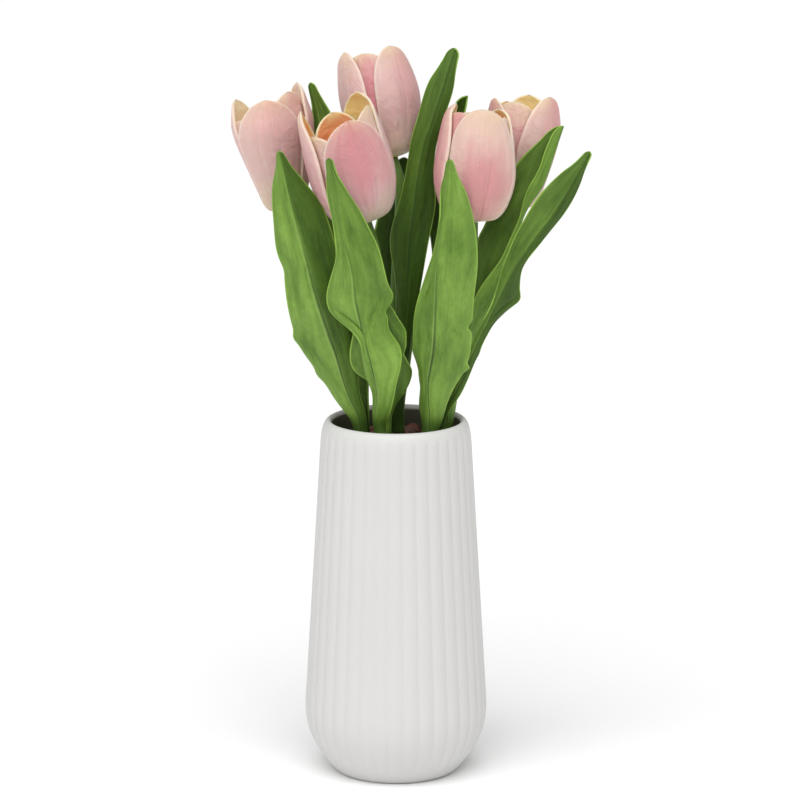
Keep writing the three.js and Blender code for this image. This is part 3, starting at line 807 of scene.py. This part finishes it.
def skinned(name, surface, cells, thickness, marks, material):
    """A closed sheet around a surface: two faces and a rounded rim.

    Each vertex keeps blade = (across, along, side) with side 0 outside and 1 inside, and the marks,
    each of which is four numbers under a name.
    """
    columns, rows = cells[0] + 1, cells[1] + 1
    across, along = np.meshgrid(
        np.linspace(-1, 1, columns), (1 - np.cos(np.linspace(0, math.pi, rows))) / 2)
    middle = surface(across, along)
    sideways = np.gradient(middle, axis=1)
    upwards = np.gradient(middle, axis=0)
    normal = np.cross(sideways, upwards)
    sideways /= np.linalg.norm(sideways, axis=-1, keepdims=True)
    upwards /= np.linalg.norm(upwards, axis=-1, keepdims=True)
    normal /= np.linalg.norm(normal, axis=-1, keepdims=True)
    half = (thickness(across, along) / 2)[..., None]
    outer, inner = middle + half * normal, middle - half * normal
    vertices = [*outer.reshape(-1, 3), *inner.reshape(-1, 3)]
    flat = np.stack([across.ravel(), along.ravel()], axis=1)
    blade = [*np.hstack([flat, np.zeros((len(flat), 1))]), *np.hstack([flat, np.ones((len(flat), 1))])]

    faces = []
    back = rows * columns
    for row in range(rows - 1):
        for column in range(columns - 1):
            a = row * columns + column
            b, c, d = a + 1, a + columns + 1, a + columns
            faces.append((a, b, c, d))
            faces.append((back + a, back + d, back + c, back + b))

    loop = [(0, c) for c in range(columns - 1)] + [(r, columns - 1) for r in range(rows - 1)]
    loop += [(rows - 1, c) for c in range(columns - 1, 0, -1)] + [(r, 0) for r in range(rows - 1, 0, -1)]
    rings = [[r * columns + c for r, c in loop]]
    for turn in (math.pi / 4, math.pi / 2, 3 * math.pi / 4):
        ring = []
        for r, c in loop:
            away = (float(c == columns - 1) - float(c == 0)) * sideways[r, c]
            away = away + (float(r == rows - 1) - float(r == 0)) * upwards[r, c]
            away = away / np.linalg.norm(away)
            lift = math.cos(turn) * normal[r, c] + math.sin(turn) * away
            ring.append(len(vertices))
            vertices.append(middle[r, c] + half[r, c] * lift)
            blade.append((across[r, c], along[r, c], 0.5 - 0.5 * math.cos(turn)))
        rings.append(ring)
    rings.append([back + r * columns + c for r, c in loop])
    for ring, following in zip(rings, rings[1:]):
        for k in range(len(loop)):
            after = (k + 1) % len(loop)
            faces.append((ring[k], following[k], following[after], ring[after]))

    piece = new_mesh(name, vertices, faces, material)
    attribute = piece.data.attributes.new("blade", "FLOAT_VECTOR", "POINT")
    attribute.data.foreach_set("vector", np.array(blade, float).ravel())
    for mark, numbers in marks.items():
        attribute = piece.data.attributes.new(mark, "FLOAT_COLOR", "POINT")
        attribute.data.foreach_set("color", np.tile(np.array(numbers, float), len(vertices)))
    return piece


def read_mark(tree, name):
    """A mark that skinned() leaves on a piece: its first three numbers, and its fourth."""
    mark = add(tree, "Attribute", attribute_name=name).outputs
    return add(tree, "SeparateXYZ", {0: mark["Vector"]}).outputs, mark["Alpha"]


def petal_skin():
    """Satin foam skin, tinted by airbrush: pink with a deeper flush, cream rims and an orange inside."""
    material, tree = new_material("tinted_petal_skin")
    blade, _ = read_mark(tree, "blade")
    tone, _ = read_mark(tree, "tone")
    flush, flush_length = read_mark(tree, "flush")
    place = add(tree, "TexCoord").outputs["Object"]
    drift = add(tree, "TexNoise", {"Vector": place, "Scale": 60.0, "Detail": 2.0})
    off_centre = add(tree, "Math", {0: blade[0]}, operation="ABSOLUTE")

    # fine veins and broad soft folds that run from the base to the tip
    fan = add(tree, "CombineXYZ", {0: blade[0], 1: blade[1], 2: tone[2]})
    fine = add(tree, "Mapping", {"Vector": fan, "Scale": (24, 1.6, 40)})
    veins = add(tree, "TexNoise", {
        "Vector": fine, "Scale": 1.0, "Detail": 4.0, "Roughness": 0.6, "Distortion": 0.3})
    broad = add(tree, "Mapping", {"Vector": fan, "Scale": (4.5, 1.4, 9)})
    folds = add(tree, "TexNoise", {"Vector": broad, "Scale": 1.0, "Detail": 1.0})

    # the outside from the base up: cream, pink, pale pink, peach
    uneven = add(tree, "Math", {0: drift, 1: 0.3, 2: blade[1]}, operation="MULTIPLY_ADD")
    height = add(tree, "Math", {0: uneven, 1: 0.15}, operation="SUBTRACT")
    outside = add(tree, "ValToRGB", {0: height})
    set_stops(outside, [(0.0, "#C9BE98"), (0.16, "#D2BBA9"), (0.38, "#D4B0AF"), (0.75, "#D8B4B2"),
                        (0.9, "#D4B7AA"), (1.0, "#D6C0A2")])

    # the flush: a soft cloud around its place, as long and as deep as its mark says
    away = add(tree, "Math", {0: height, 1: flush[2]}, operation="SUBTRACT")
    share = add(tree, "Math", {0: away, 1: flush_length}, operation="DIVIDE")
    aside = add(tree, "Math", {0: blade[0], 1: flush[1]}, operation="SUBTRACT")
    narrowed = add(tree, "Math", {0: aside, 1: 0.8}, operation="MULTIPLY")
    apart = add(tree, "CombineXYZ", {0: share, 1: narrowed})
    from_place = add(tree, "VectorMath", {0: apart}, operation="LENGTH")
    ragged = add(tree, "Math", {0: folds, 1: 0.6, 2: from_place}, operation="MULTIPLY_ADD")
    cloud = add(tree, "MapRange", {"Value": ragged, "From Min": 1.45, "From Max": 0.5},
                interpolation_type="SMOOTHSTEP")
    tinted_by = add(tree, "Math", {0: flush[0], 1: cloud}, operation="MULTIPLY", use_clamp=True)

    # over the outside's own colours lie a warmer tone, the flush and the cream rims
    rim = add(tree, "MapRange", {"Value": off_centre, "From Min": 0.9, "From Max": 1.0},
              interpolation_type="SMOOTHSTEP")
    soft_rim = add(tree, "Math", {0: rim, 1: 0.6}, operation="MULTIPLY")
    for amount, colour in ((tone[1], "#DEC2AC"), (tinted_by, "#C4727E"), (soft_rim, "#E8D3C6")):
        outside = add(tree, "Mix", {0: amount, 6: outside, 7: colour}, data_type="RGBA")

    # the inside: yellow at the foot, orange above it and pale at the tip, or the petal's own glow
    # where that is paler
    inner = add(tree, "ValToRGB", {0: height})
    set_stops(inner, [(0.0, "#E6BE62"), (0.4, "#F29A62"), (0.78, "#EEA06C"), (0.94, "#EEB07E"),
                      (1.0, "#F4D29A")])
    glow = add(tree, "ValToRGB", {0: tone[0]})
    set_stops(glow, [(0.0, "#F5D5CF"), (0.3, "#FAE6CC"), (0.6, "#F4DA88"), (1.0, "#F09E68")])
    own = add(tree, "MapRange", {"Value": tone[0], "From Min": 1.0, "From Max": 0.6})
    for amount, colour in ((own, glow), (rim, "#F0E2B8")):
        inner = add(tree, "Mix", {0: amount, 6: inner, 7: colour}, data_type="RGBA")
    side = add(tree, "MapRange", {"Value": blade[2], "From Min": 0.45, "From Max": 0.8},
               interpolation_type="SMOOTHSTEP")
    both = add(tree, "Mix", {0: side, 6: outside, 7: inner}, data_type="RGBA")

    # veins darken the colour slightly; veins, wrinkles and folds press into the skin
    shade = add(tree, "MapRange", {
        "Value": veins, "From Min": 0.3, "From Max": 0.7, "To Min": 0.95, "To Max": 1.03})
    veined = add(tree, "VectorMath", {0: both, "Scale": shade}, operation="SCALE")
    wrinkles = add(tree, "TexNoise", {
        "Vector": place, "Scale": 130.0, "Detail": 3.0, "Roughness": 0.6, "Distortion": 0.8})
    bump = add(tree, "Bump", {"Height": folds, "Strength": 0.4, "Distance": 0.0012})
    for marking, strength, depth in ((wrinkles, 0.6, 0.0022), (veins, 0.2, 0.0004)):
        bump = add(tree, "Bump", {
            "Height": marking, "Strength": strength, "Distance": depth, "Normal": bump})
    finish_material(tree, {
        "Base Color": veined, "Roughness": 0.55, "Normal": bump, "Specular IOR Level": 0.25,
        "Subsurface Weight": 0.6, "Subsurface Scale": 0.004, "Subsurface Radius": (1.0, 0.6, 0.45),
        "Sheen Weight": 0.08, "Sheen Roughness": 0.5})
    return material


def petal_thickness(across, along):
    """Thinner towards the rims, and half as thick at the very tip."""
    edge = np.maximum(np.abs(across), smooth_rise(along, 0.75, 1.0))
    thinner_tip = 1 - 0.5 * smooth_rise(along, 0.97, 1.0)
    return (PETAL_MIDDLE + (PETAL_RIM - PETAL_MIDDLE) * edge ** 2) * thinner_tip


tinted = petal_skin()
for flower, (name, tulip) in enumerate(TULIPS.items()):
    for whorl, inset in (("outer", 0.0), ("inner", WHORL_STEP)):
        for i, petal in enumerate(tulip[whorl], 1):
            seed = 100 * flower + 10 * (whorl == "inner") + i
            creases = CREASES.get((name, whorl, i), [])
            surface = petal_surface(tulip, petal, inset, OUTER_RIM[name], creases, seed)
            # the tone holds the inside's glow, the outside's warmth and how far the veins are moved
            marks = {
                "flush": FLUSH[name][whorl][i - 1],
                "tone": (GLOW[name][whorl][i - 1], WARMTH[name], seed / 10, 1),
            }
            skin = skinned(f"{whorl}_petal_{name}_{i}", surface, PETAL_CELLS,
                           petal_thickness, marks, tinted)
            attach(skin, "root")
            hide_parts(f"petal_{name}_{whorl}_{i}")


# ---------------------------------------------------------------- leaves
# Broad tulip leaves of the same foam skin, wired along the midrib and wrapped round the stalks at
# their feet. Each is creased along the midrib, and its rims wave.
LEAF_MIDDLE = 0.0014
LEAF_RIM = 0.0009
LEAF_CELLS = (40, 150)
LEAF_BASE = 0.199
CLASP_HEIGHT = 0.012
CLASP_OPENING = 0.0006
STEM_CLEARANCE = 0.0004
HALF_CLASP_THICKNESS = 0.00055
RIM_RIPPLE = 0.0005
RIM_RIPPLES = 6
GROOVE_DEPTH = 0.0006
GROOVE_REACH = 0.0012
LEAF_LEAST_WIDTH = 0.0003
LEAST_BEND = 0.3

# How many degrees further each blade folds than its own fold says, how much wider its tip is than
# its last half width, and how long the tip's rounding is for its width.
DEEPER_FOLD = 6
TIP_BLUNT = 0.0012
TIP_ROUNDING = 1.3

# A leaf has its tulip, the azimuths that its back faces at the base and at the tip, the free
# points of its midrib above the clasp, its half widths left and right at even stations, how far
# each half is folded back at the midrib and how far it curls on from there (degrees, at base,
# middle and tip), and the height, number and phase of the waves in its rims.
LEAVES = {
    "front_left": {
        "tulip": "left", "faces": (-12, -8),
        "midrib": [
            (-0.028, -0.016, 0.227), (-0.034, -0.022, 0.25), (-0.044, -0.032, 0.282),
            (-0.051, -0.034, 0.31), (-0.058, -0.033, 0.337), (-0.065, -0.029, 0.366),
        ],
        "left": (0.004, 0.008, 0.0135, 0.022, 0.023, 0.0205, 0.0182, 0.018, 0.0142, 0.0096, 0.0005),
        "right": (0.004, 0.0048, 0.009, 0.012, 0.0146, 0.0162, 0.0176, 0.0178, 0.0144, 0.0086, 0.0005),
        "fold": (0, 14, 14), "curl": (50, 12, 10), "wave": (0.0008, 3, 0),
    },
    "front_middle": {
        "tulip": "middle", "faces": (-50, 0),
        "midrib": [
            (-0.011, -0.029, 0.23), (-0.017, -0.041, 0.259), (-0.022, -0.048, 0.283),
            (-0.024, -0.052, 0.301), (-0.029, -0.054, 0.323), (-0.037, -0.053, 0.366),
        ],
        "left": (0.0038, 0.0078, 0.007, 0.0044, 0.0038, 0.017, 0.014, 0.0065, 0.0045, 0.0045, 0.0005),
        "right": (0.0038, 0.008, 0.011, 0.0195, 0.0156, 0.021, 0.019, 0.0175, 0.013, 0.006, 0.0005),
        "fold": (0, 12, 10), "curl": (55, 12, 8), "wave": (0.0008, 3, 1),
    },
    "short_middle": {
        "tulip": "middle", "faces": (70, 0),
        "midrib": [
            (-0.002, -0.022, 0.231), (-0.005, -0.027, 0.246), (-0.008, -0.031, 0.26),
            (-0.01, -0.033, 0.275), (-0.011, -0.033, 0.288),
        ],
        "left": (0.003, 0.003, 0.004, 0.007, 0.013, 0.02, 0.02, 0.017, 0.013, 0.008, 0.0005),
        "right": (0.0034, 0.0038, 0.005, 0.007, 0.012, 0.011, 0.0125, 0.014, 0.011, 0.007, 0.0005),
        "fold": (0, 2, 5), "curl": (55, 8, 10), "wave": (0.001, 3, 2),
    },
    "tall_centre": {
        "tulip": "top", "faces": (0, -10),
        "midrib": [
            (0.005, -0.001, 0.265), (0.008, 0, 0.311), (0.014, 0.004, 0.357), (0.02, 0.005, 0.377),
            (0.027, 0.007, 0.399), (0.033, 0.011, 0.418),
        ],
        "left": (0.004, 0.004, 0.005, 0.006, 0.0082, 0.013, 0.009, 0.0075, 0.0088, 0.009, 0.002),
        "right": (0.004, 0.0042, 0.0045, 0.0058, 0.0082, 0.0106, 0.012, 0.008, 0.006, 0.0058, 0.002),
        "fold": (0, 10, 10), "curl": (58, 12, 6), "wave": (0.0005, 2, 0),
    },
    "back_centre": {
        "tulip": "top", "faces": (180, 180),
        "midrib": [
            (0.001, 0.02, 0.249), (0, 0.028, 0.282), (0.001, 0.032, 0.319), (0.005, 0.033, 0.352),
        ],
        "left": (0.004, 0.005, 0.007, 0.009, 0.011, 0.011, 0.01, 0.009, 0.007, 0.004, 0.0005),
        "right": (0.004, 0.005, 0.007, 0.009, 0.012, 0.014, 0.015, 0.014, 0.011, 0.006, 0.0005),
        "fold": (0, 10, 10), "curl": (58, 12, 8), "wave": (0.0005, 2, 1),
    },
    "front_right": {
        "tulip": "right", "faces": (-10, 0),
        "midrib": [
            (0.018, -0.025, 0.232), (0.021, -0.034, 0.254), (0.022, -0.041, 0.278),
            (0.023, -0.046, 0.305), (0.028, -0.047, 0.345), (0.03, -0.045, 0.364),
        ],
        "left": (0.004, 0.007, 0.005, 0.0118, 0.0136, 0.0118, 0.0066, 0.0028, 0.002, 0.0034, 0.0005),
        "right": (0.004, 0.0098, 0.0188, 0.024, 0.0246, 0.0246, 0.0255, 0.0238, 0.0188, 0.011, 0.0005),
        "fold": (0, 18, 10), "curl": (58, 12, 8), "wave": (0.0008, 3, 0),
    },
    "back_right": {
        "tulip": "right", "faces": (165, 150),
        "midrib": [
            (0.02, -0.003, 0.24), (0.027, 0.01, 0.295), (0.031, 0.016, 0.336),
            (0.036, 0.018, 0.371), (0.04, 0.017, 0.39),
        ],
        "left": (0.004, 0.005, 0.007, 0.009, 0.009, 0.009, 0.009, 0.008, 0.008, 0.008, 0.005),
        "right": (0.004, 0.005, 0.007, 0.007, 0.0065, 0.006, 0.009, 0.009, 0.008, 0.008, 0.005),
        "fold": (0, 15, 45), "curl": (58, 12, 15), "wave": (0.0005, 2, 2),
    },
    "folded_right": {
        "tulip": "far_right", "faces": (62, 90),
        "midrib": [
            (0.036, -0.004, 0.229), (0.043, -0.007, 0.249), (0.053, -0.01, 0.271),
            (0.063, -0.011, 0.298), (0.073, -0.009, 0.327), (0.084, -0.007, 0.345),
            (0.094, -0.004, 0.376),
        ],
        "left": (0.0028, 0.0045, 0.009, 0.011, 0.013, 0.0095, 0.004, 0.004, 0.0095, 0.0095, 0.0035),
        "right": (0.0034, 0.005, 0.008, 0.012, 0.016, 0.019, 0.0215, 0.0185, 0.0195, 0.015, 0.005),
        "fold": (0, 50, 60), "curl": (45, 15, 20), "wave": (0.0004, 2, 0),
    },
    "far_right": {
        "tulip": "far_right", "faces": (-30, 10),
        "midrib": [
            (0.035, -0.014, 0.228), (0.046, -0.021, 0.256), (0.057, -0.025, 0.279),
            (0.071, -0.028, 0.307), (0.091, -0.028, 0.335), (0.108, -0.025, 0.365),
        ],
        "left": (0.0034, 0.003, 0.0024, 0.0022, 0.0026, 0.0036, 0.007, 0.0104, 0.0126, 0.0084, 0.0005),
        "right": (0.0028, 0.0028, 0.003, 0.0034, 0.0045, 0.011, 0.0045, 0.005, 0.006, 0.005, 0.0005),
        "fold": (0, 15, 15), "curl": (45, 12, 8), "wave": (0.0005, 3, 1),
    },
    "back_left": {
        "tulip": "left", "faces": (160, 180),
        "midrib": [
            (-0.021, 0.003, 0.232), (-0.025, 0.013, 0.266), (-0.033, 0.02, 0.307),
            (-0.04, 0.022, 0.347), (-0.044, 0.022, 0.376), (-0.048, 0.02, 0.397),
        ],
        "left": (0.004, 0.006, 0.008, 0.009, 0.01, 0.01, 0.01, 0.01, 0.01, 0.0085, 0.0005),
        "right": (0.004, 0.006, 0.008, 0.009, 0.01, 0.01, 0.009, 0.008, 0.005, 0.003, 0.0005),
        "fold": (0, 10, 10), "curl": (58, 12, 8), "wave": (0.0005, 2, 2),
    },
}

# How much painted shade darkens each leaf, deepest on the ones behind that lie in the others' shadow,
# how much darker its right half is painted than its left, and how much darker its tip is painted than
# its foot.
PAINTED_LEAF_SHADE = {
    "front_left": (0.42, 0.75, 0.35), "front_middle": (0.12, 0.1, 0.75), "short_middle": (0.5, 0.3, 0.2),
    "tall_centre": (0.95, 0.2, -0.3), "back_centre": (1, 0, 0), "front_right": (0.15, -0.4, 0.35),
    "back_right": (0.6, 0.4, 0.2), "folded_right": (0.15, 0.3, 0.4), "far_right": (0.8, 0.3, 0.1),
    "back_left": (0.05, 0.3, 0.1),
}

# Lobes and notches in a leaf's rim: the side (-1 left, 1 right), how far along, how far out (a notch
# is negative), and how long, as a share of the leaf.
LOBES = {
    "front_left": [
        (-1, 0.62, -0.001, 0.03), (-1, 0.36, 0.0022, 0.025), (-1, 0.22, 0.002, 0.02),
        (1, 0.8, 0.0018, 0.08),
    ],
    "back_centre": [(-1, 0.94, 0.004, 0.05), (1, 0.94, 0.004, 0.05)],
    "front_middle": [(1, 0.455, -0.0028, 0.016), (1, 0.5, 0.0014, 0.03)],
    "short_middle": [(-1, 0.35, 0.001, 0.04), (1, 0.55, -0.0015, 0.03)],
    "front_right": [(1, 0.4, -0.003, 0.014), (1, 0.25, 0.003, 0.013), (-1, 0.3, 0.0015, 0.03)],
    "folded_right": [(1, 0.6, 0.001, 0.03), (-1, 0.87, -0.0038, 0.12)],
    "far_right": [(1, 0.5, 0.0026, 0.025), (1, 0.3, 0.0006, 0.02)],
}

# Short slanting pleats: where each crosses (across, along), how far across it runs per length, and
# how deep it is.
PLEATS = {
    "front_middle": [(-0.4, 0.46, -8, 0.0026), (0.35, 0.45, 5, 0.0022), (0.4, 0.72, 3, 0.0012)],
    "front_left": [(-0.5, 0.33, 4, 0.001), (0.5, 0.62, -4, 0.001)],
    "front_right": [(0.5, 0.4, -7, 0.002), (-0.5, 0.55, 4, 0.0012)],
    "tall_centre": [(0.4, 0.55, 4, 0.0008)],
    "far_right": [(0.5, 0.47, 6, 0.0014)],
    "folded_right": [(-0.5, 0.4, 4, 0.001)],
}
PLEAT_REACH = 0.11
PLEAT_LENGTH = 0.05


def through(values, along):
    """A smooth value along 0..1 through evenly spaced stations."""
    values = np.array(values, float)
    spread = np.clip(along, 0, 1) * (len(values) - 1)
    first = np.minimum(spread.astype(int), len(values) - 2)
    t = spread - first
    p0, p1 = values[np.maximum(first - 1, 0)], values[first]
    p2, p3 = values[first + 1], values[np.minimum(first + 2, len(values) - 1)]
    v0, v1 = (p2 - p0) / 2, (p3 - p1) / 2
    return (2 * p1 - 2 * p2 + v0 + v1) * t ** 3 + (-3 * p1 + 3 * p2 - 2 * v0 - v1) * t ** 2 + v0 * t + p1


def facing(azimuth):
    """The level direction of an azimuth in degrees."""
    turn = np.radians(azimuth)
    return np.stack([np.sin(turn), -np.cos(turn), np.zeros_like(turn)], axis=-1)


def leaf_midrib(leaf):
    """From the clasp on the stalk out along the free points."""
    stalk_line = stem_path(TULIPS[leaf["tulip"]])
    seat = STEM_RADIUS + STEM_CLEARANCE + HALF_CLASP_THICKNESS
    outwards = facing(np.array(float(leaf["faces"][0])))
    clasp = []
    for height, gap in ((LEAF_BASE, seat), (LEAF_BASE + CLASP_HEIGHT, seat + CLASP_OPENING)):
        nearest = stalk_line[np.argmin(abs(stalk_line[:, 2] - height))]
        clasp.append(nearest + gap * outwards)
    return smooth_path([*clasp, *leaf["midrib"]])


def leaf_surface(name, leaf, seed):
    """The leaf's middle surface as a function of across (-1..1) and along (0..1)."""
    midrib = leaf_midrib(leaf)
    tangents = np.gradient(midrib, axis=0)
    tangents /= np.linalg.norm(tangents, axis=1)[:, None]
    wave_height, waves, phase = leaf["wave"]
    rim_phase = np.random.default_rng(seed).uniform(0, math.tau)
    length = np.linalg.norm(np.diff(midrib, axis=0), axis=1).sum()
    tip_start = 1 - TIP_ROUNDING * (max(leaf["left"][-1], leaf["right"][-1]) + TIP_BLUNT) / length

    def surface(across, along):
        tangent = read_path(tangents, along)
        tangent /= np.linalg.norm(tangent, axis=-1, keepdims=True)
        turned = smooth_rise(along, 0.08, 0.35)
        back = facing(leaf["faces"][0] + (leaf["faces"][1] - leaf["faces"][0]) * turned)
        out = back - np.sum(back * tangent, axis=-1, keepdims=True) * tangent
        out /= np.linalg.norm(out, axis=-1, keepdims=True)
        side = np.cross(tangent, out)
        left, right = through(leaf["left"], along), through(leaf["right"], along)
        for side_sign, place, out_by, reach in LOBES.get(name, []):
            lobe = out_by * bump_at(along, place, reach)
            left, right = (left + lobe, right) if side_sign < 0 else (left, right + lobe)
        past_start = np.clip((along - tip_start) / (1 - tip_start), 0, 1)
        rounded = np.sqrt(1 - past_start ** 2)
        blunt = TIP_BLUNT * smooth_rise(along, 0.93, 1.0)
        edge = np.maximum((np.where(across < 0, left, right) + blunt) * rounded, LEAF_LEAST_WIDTH)
        blade = smooth_rise(along, 0.15, 0.4)
        fold = np.radians(np.maximum(through(leaf["fold"], along) + DEEPER_FOLD * blade, LEAST_BEND))
        curl = np.radians(np.maximum(through(leaf["curl"], along), LEAST_BEND))
        end = fold + curl * np.abs(across)
        sideways = np.sign(across) * edge * (np.sin(end) - np.sin(fold)) / curl
        backwards = edge * (np.cos(fold) - np.cos(end)) / curl
        wave = wave_height * across ** 2 * np.sin(math.tau * waves * along + phase + across) * blade
        ripples = np.sin(math.tau * RIM_RIPPLES * along + rim_phase + 2 * across)
        wave += RIM_RIPPLE * across ** 4 * ripples * blade
        for centre, place, slant, depth in PLEATS.get(name, []):
            off_line = across - centre - slant * (along - place)
            wave -= depth * bump_at(off_line, 0, PLEAT_REACH) * bump_at(along, place, PLEAT_LENGTH)
        groove = GROOVE_DEPTH * bump_at(across * edge, 0, GROOVE_REACH) * smooth_rise(along, 0.05, 0.2)
        lift = (wave - backwards - groove * smooth_rise(along, 1.0, 0.9))[..., None]
        return read_path(midrib, along) + side * sideways[..., None] + out * lift

    return surface


def leaf_skin():
    """Satin foam skin in two greens, softly blotched, with pressed veins, rims painted pale as a
    highlight, and painted shade.
    """
    material, tree = new_material("tinted_leaf_skin")
    blade, _ = read_mark(tree, "blade")
    tone, painted_tip_shade = read_mark(tree, "tone")
    off_centre = add(tree, "Math", {0: blade[0]}, operation="ABSOLUTE")
    fan = add(tree, "CombineXYZ", {0: blade[0], 1: blade[1], 2: tone[2]})

    # soft blotches
    spots = add(tree, "Mapping", {"Vector": fan, "Scale": (2.4, 5, 7)})
    cloud = add(tree, "TexNoise", {
        "Vector": spots, "Scale": 1.0, "Detail": 5.0, "Roughness": 0.6, "Distortion": 0.2})
    patches = add(tree, "MapRange", {"Value": cloud, "From Min": 0.26, "From Max": 0.68})

    # parallel veins from the foot to the tip
    spread = add(tree, "Mapping", {"Vector": fan, "Scale": (22, 2.2, 40)})
    veins = add(tree, "TexNoise", {"Vector": spread, "Scale": 1.0, "Detail": 3.0})

    # how much dark green shows: painted shade by the leaf's place, half and height, and most on the
    # inner face, whose deeper green is its own
    light = add(tree, "Mix", {0: patches, 6: "#507424", 7: "#84A848"}, data_type="RGBA")
    dark = add(tree, "Mix", {0: patches, 6: "#2E4510", 7: "#46651B"}, data_type="RGBA")
    # painted shade: the leaf's own amount, with one half darker than the other
    half = add(tree, "MapRange", {
        "Value": blade[0], "From Min": -0.12, "From Max": 0.12, "To Min": -0.5, "To Max": 0.5},
        interpolation_type="SMOOTHSTEP")
    painted_half_shade = add(tree, "Math", {0: half, 1: tone[1], 2: tone[0]}, operation="MULTIPLY_ADD")
    # painted shade that grows towards the tip, or towards the foot where it is negative
    towards_tip = add(tree, "Math", {0: blade[1], 1: 0.5}, operation="SUBTRACT")
    depth = add(tree, "Math", {0: towards_tip, 1: painted_tip_shade, 2: painted_half_shade},
                operation="MULTIPLY_ADD", use_clamp=True)
    inner_face = add(tree, "Math", {0: blade[2], 1: 0.45}, operation="MULTIPLY")

    # painted shade in a dark crease along the midrib that deepens towards the foot, with a painted
    # highlight on the ridge to its left
    crease = add(tree, "MapRange", {"Value": off_centre, "From Min": 0.055, "From Max": 0.0},
                 interpolation_type="SMOOTHSTEP")
    deepens = add(tree, "MapRange", {
        "Value": blade[1], "From Min": 0.75, "From Max": 0.3, "To Min": 0.15, "To Max": 0.9})
    pressed = add(tree, "Math", {0: crease, 1: deepens}, operation="MULTIPLY")
    # painted highlight: a pale line on the ridge just left of the crease
    beside = add(tree, "Math", {0: blade[0], 1: 0.07}, operation="ADD")
    off_ridge = add(tree, "Math", {0: beside}, operation="ABSOLUTE")
    ridge = add(tree, "MapRange", {
        "Value": off_ridge, "From Min": 0.05, "From Max": 0.0, "To Max": 0.4},
        interpolation_type="SMOOTHSTEP")
    lit = add(tree, "Math", {0: 1.0, 1: depth}, operation="SUBTRACT")
    painted_ridge_highlight = add(tree, "Math", {0: ridge, 1: lit}, operation="MULTIPLY")

    # rims painted pale as a highlight, and painted shade on the foot where the blade runs down into the
    # vase's shadow inside the mouth
    # painted highlight: the rims made lighter, as if catching the light
    rim = add(tree, "MapRange", {
        "Value": off_centre, "From Min": 0.955, "From Max": 1.0, "To Max": 0.8},
        interpolation_type="SMOOTHSTEP")
    # painted shade: the foot darkened for the vase's shadow inside the mouth
    foot = add(tree, "MapRange", {
        "Value": blade[1], "From Min": 0.1, "From Max": 0.03, "To Max": 0.8},
        interpolation_type="SMOOTHSTEP")

    # over the light green lie the painted shade, the inner face's dark green, the ridge's painted
    # highlight, the crease's painted shade, the rims' painted highlight and the foot's painted shade
    green = light
    for amount, colour in ((depth, dark), (inner_face, dark), (painted_ridge_highlight, "#A2C06C"), (pressed, "#2E3F22"),
                           (rim, "#93B94E"), (foot, "#33501A")):
        green = add(tree, "Mix", {0: amount, 6: green, 7: colour}, data_type="RGBA")

    # veins and a fine grain shade the colour; veins and blotches dent the skin
    place = add(tree, "TexCoord").outputs["Object"]
    grain = add(tree, "TexNoise", {
        "Vector": place, "Scale": 350.0, "Detail": 3.0, "Roughness": 0.6})
    marked = add(tree, "Math", {0: veins, 1: grain}, operation="ADD")
    shade = add(tree, "MapRange", {
        "Value": marked, "From Min": 0.7, "From Max": 1.3, "To Min": 0.88, "To Max": 1.08})
    veined = add(tree, "VectorMath", {0: green, "Scale": shade}, operation="SCALE")
    dents = add(tree, "Bump", {"Height": cloud, "Strength": 0.3, "Distance": 0.006})
    bump = add(tree, "Bump", {
        "Height": veins, "Strength": 0.3, "Distance": 0.0004, "Normal": dents})
    finish_material(tree, {
        "Base Color": veined, "Roughness": 0.5, "Normal": bump, "Specular IOR Level": 0.22,
        "Subsurface Weight": 0.06, "Subsurface Scale": 0.002, "Subsurface Radius": (0.4, 1.0, 0.2)})
    return material


def leaf_thickness(across, along):
    """Thinner towards the rims and the tip."""
    edge = np.maximum(np.abs(across), smooth_rise(along, 0.9, 1.0))
    return LEAF_MIDDLE + (LEAF_RIM - LEAF_MIDDLE) * edge ** 1.5


green_skin = leaf_skin()
for seed, (name, leaf) in enumerate(LEAVES.items(), 1):
    # each leaf's painted shade: overall, on the right half, and towards the tip
    depth, painted_right_shade, painted_tip_shade = PAINTED_LEAF_SHADE[name]
    marks = {"tone": (depth, painted_right_shade, seed, painted_tip_shade)}
    skin = skinned(f"blade_{name}", leaf_surface(name, leaf, seed), LEAF_CELLS,
                   leaf_thickness, marks, green_skin)
    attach(skin, "root")
    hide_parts(f"leaf_{name}")
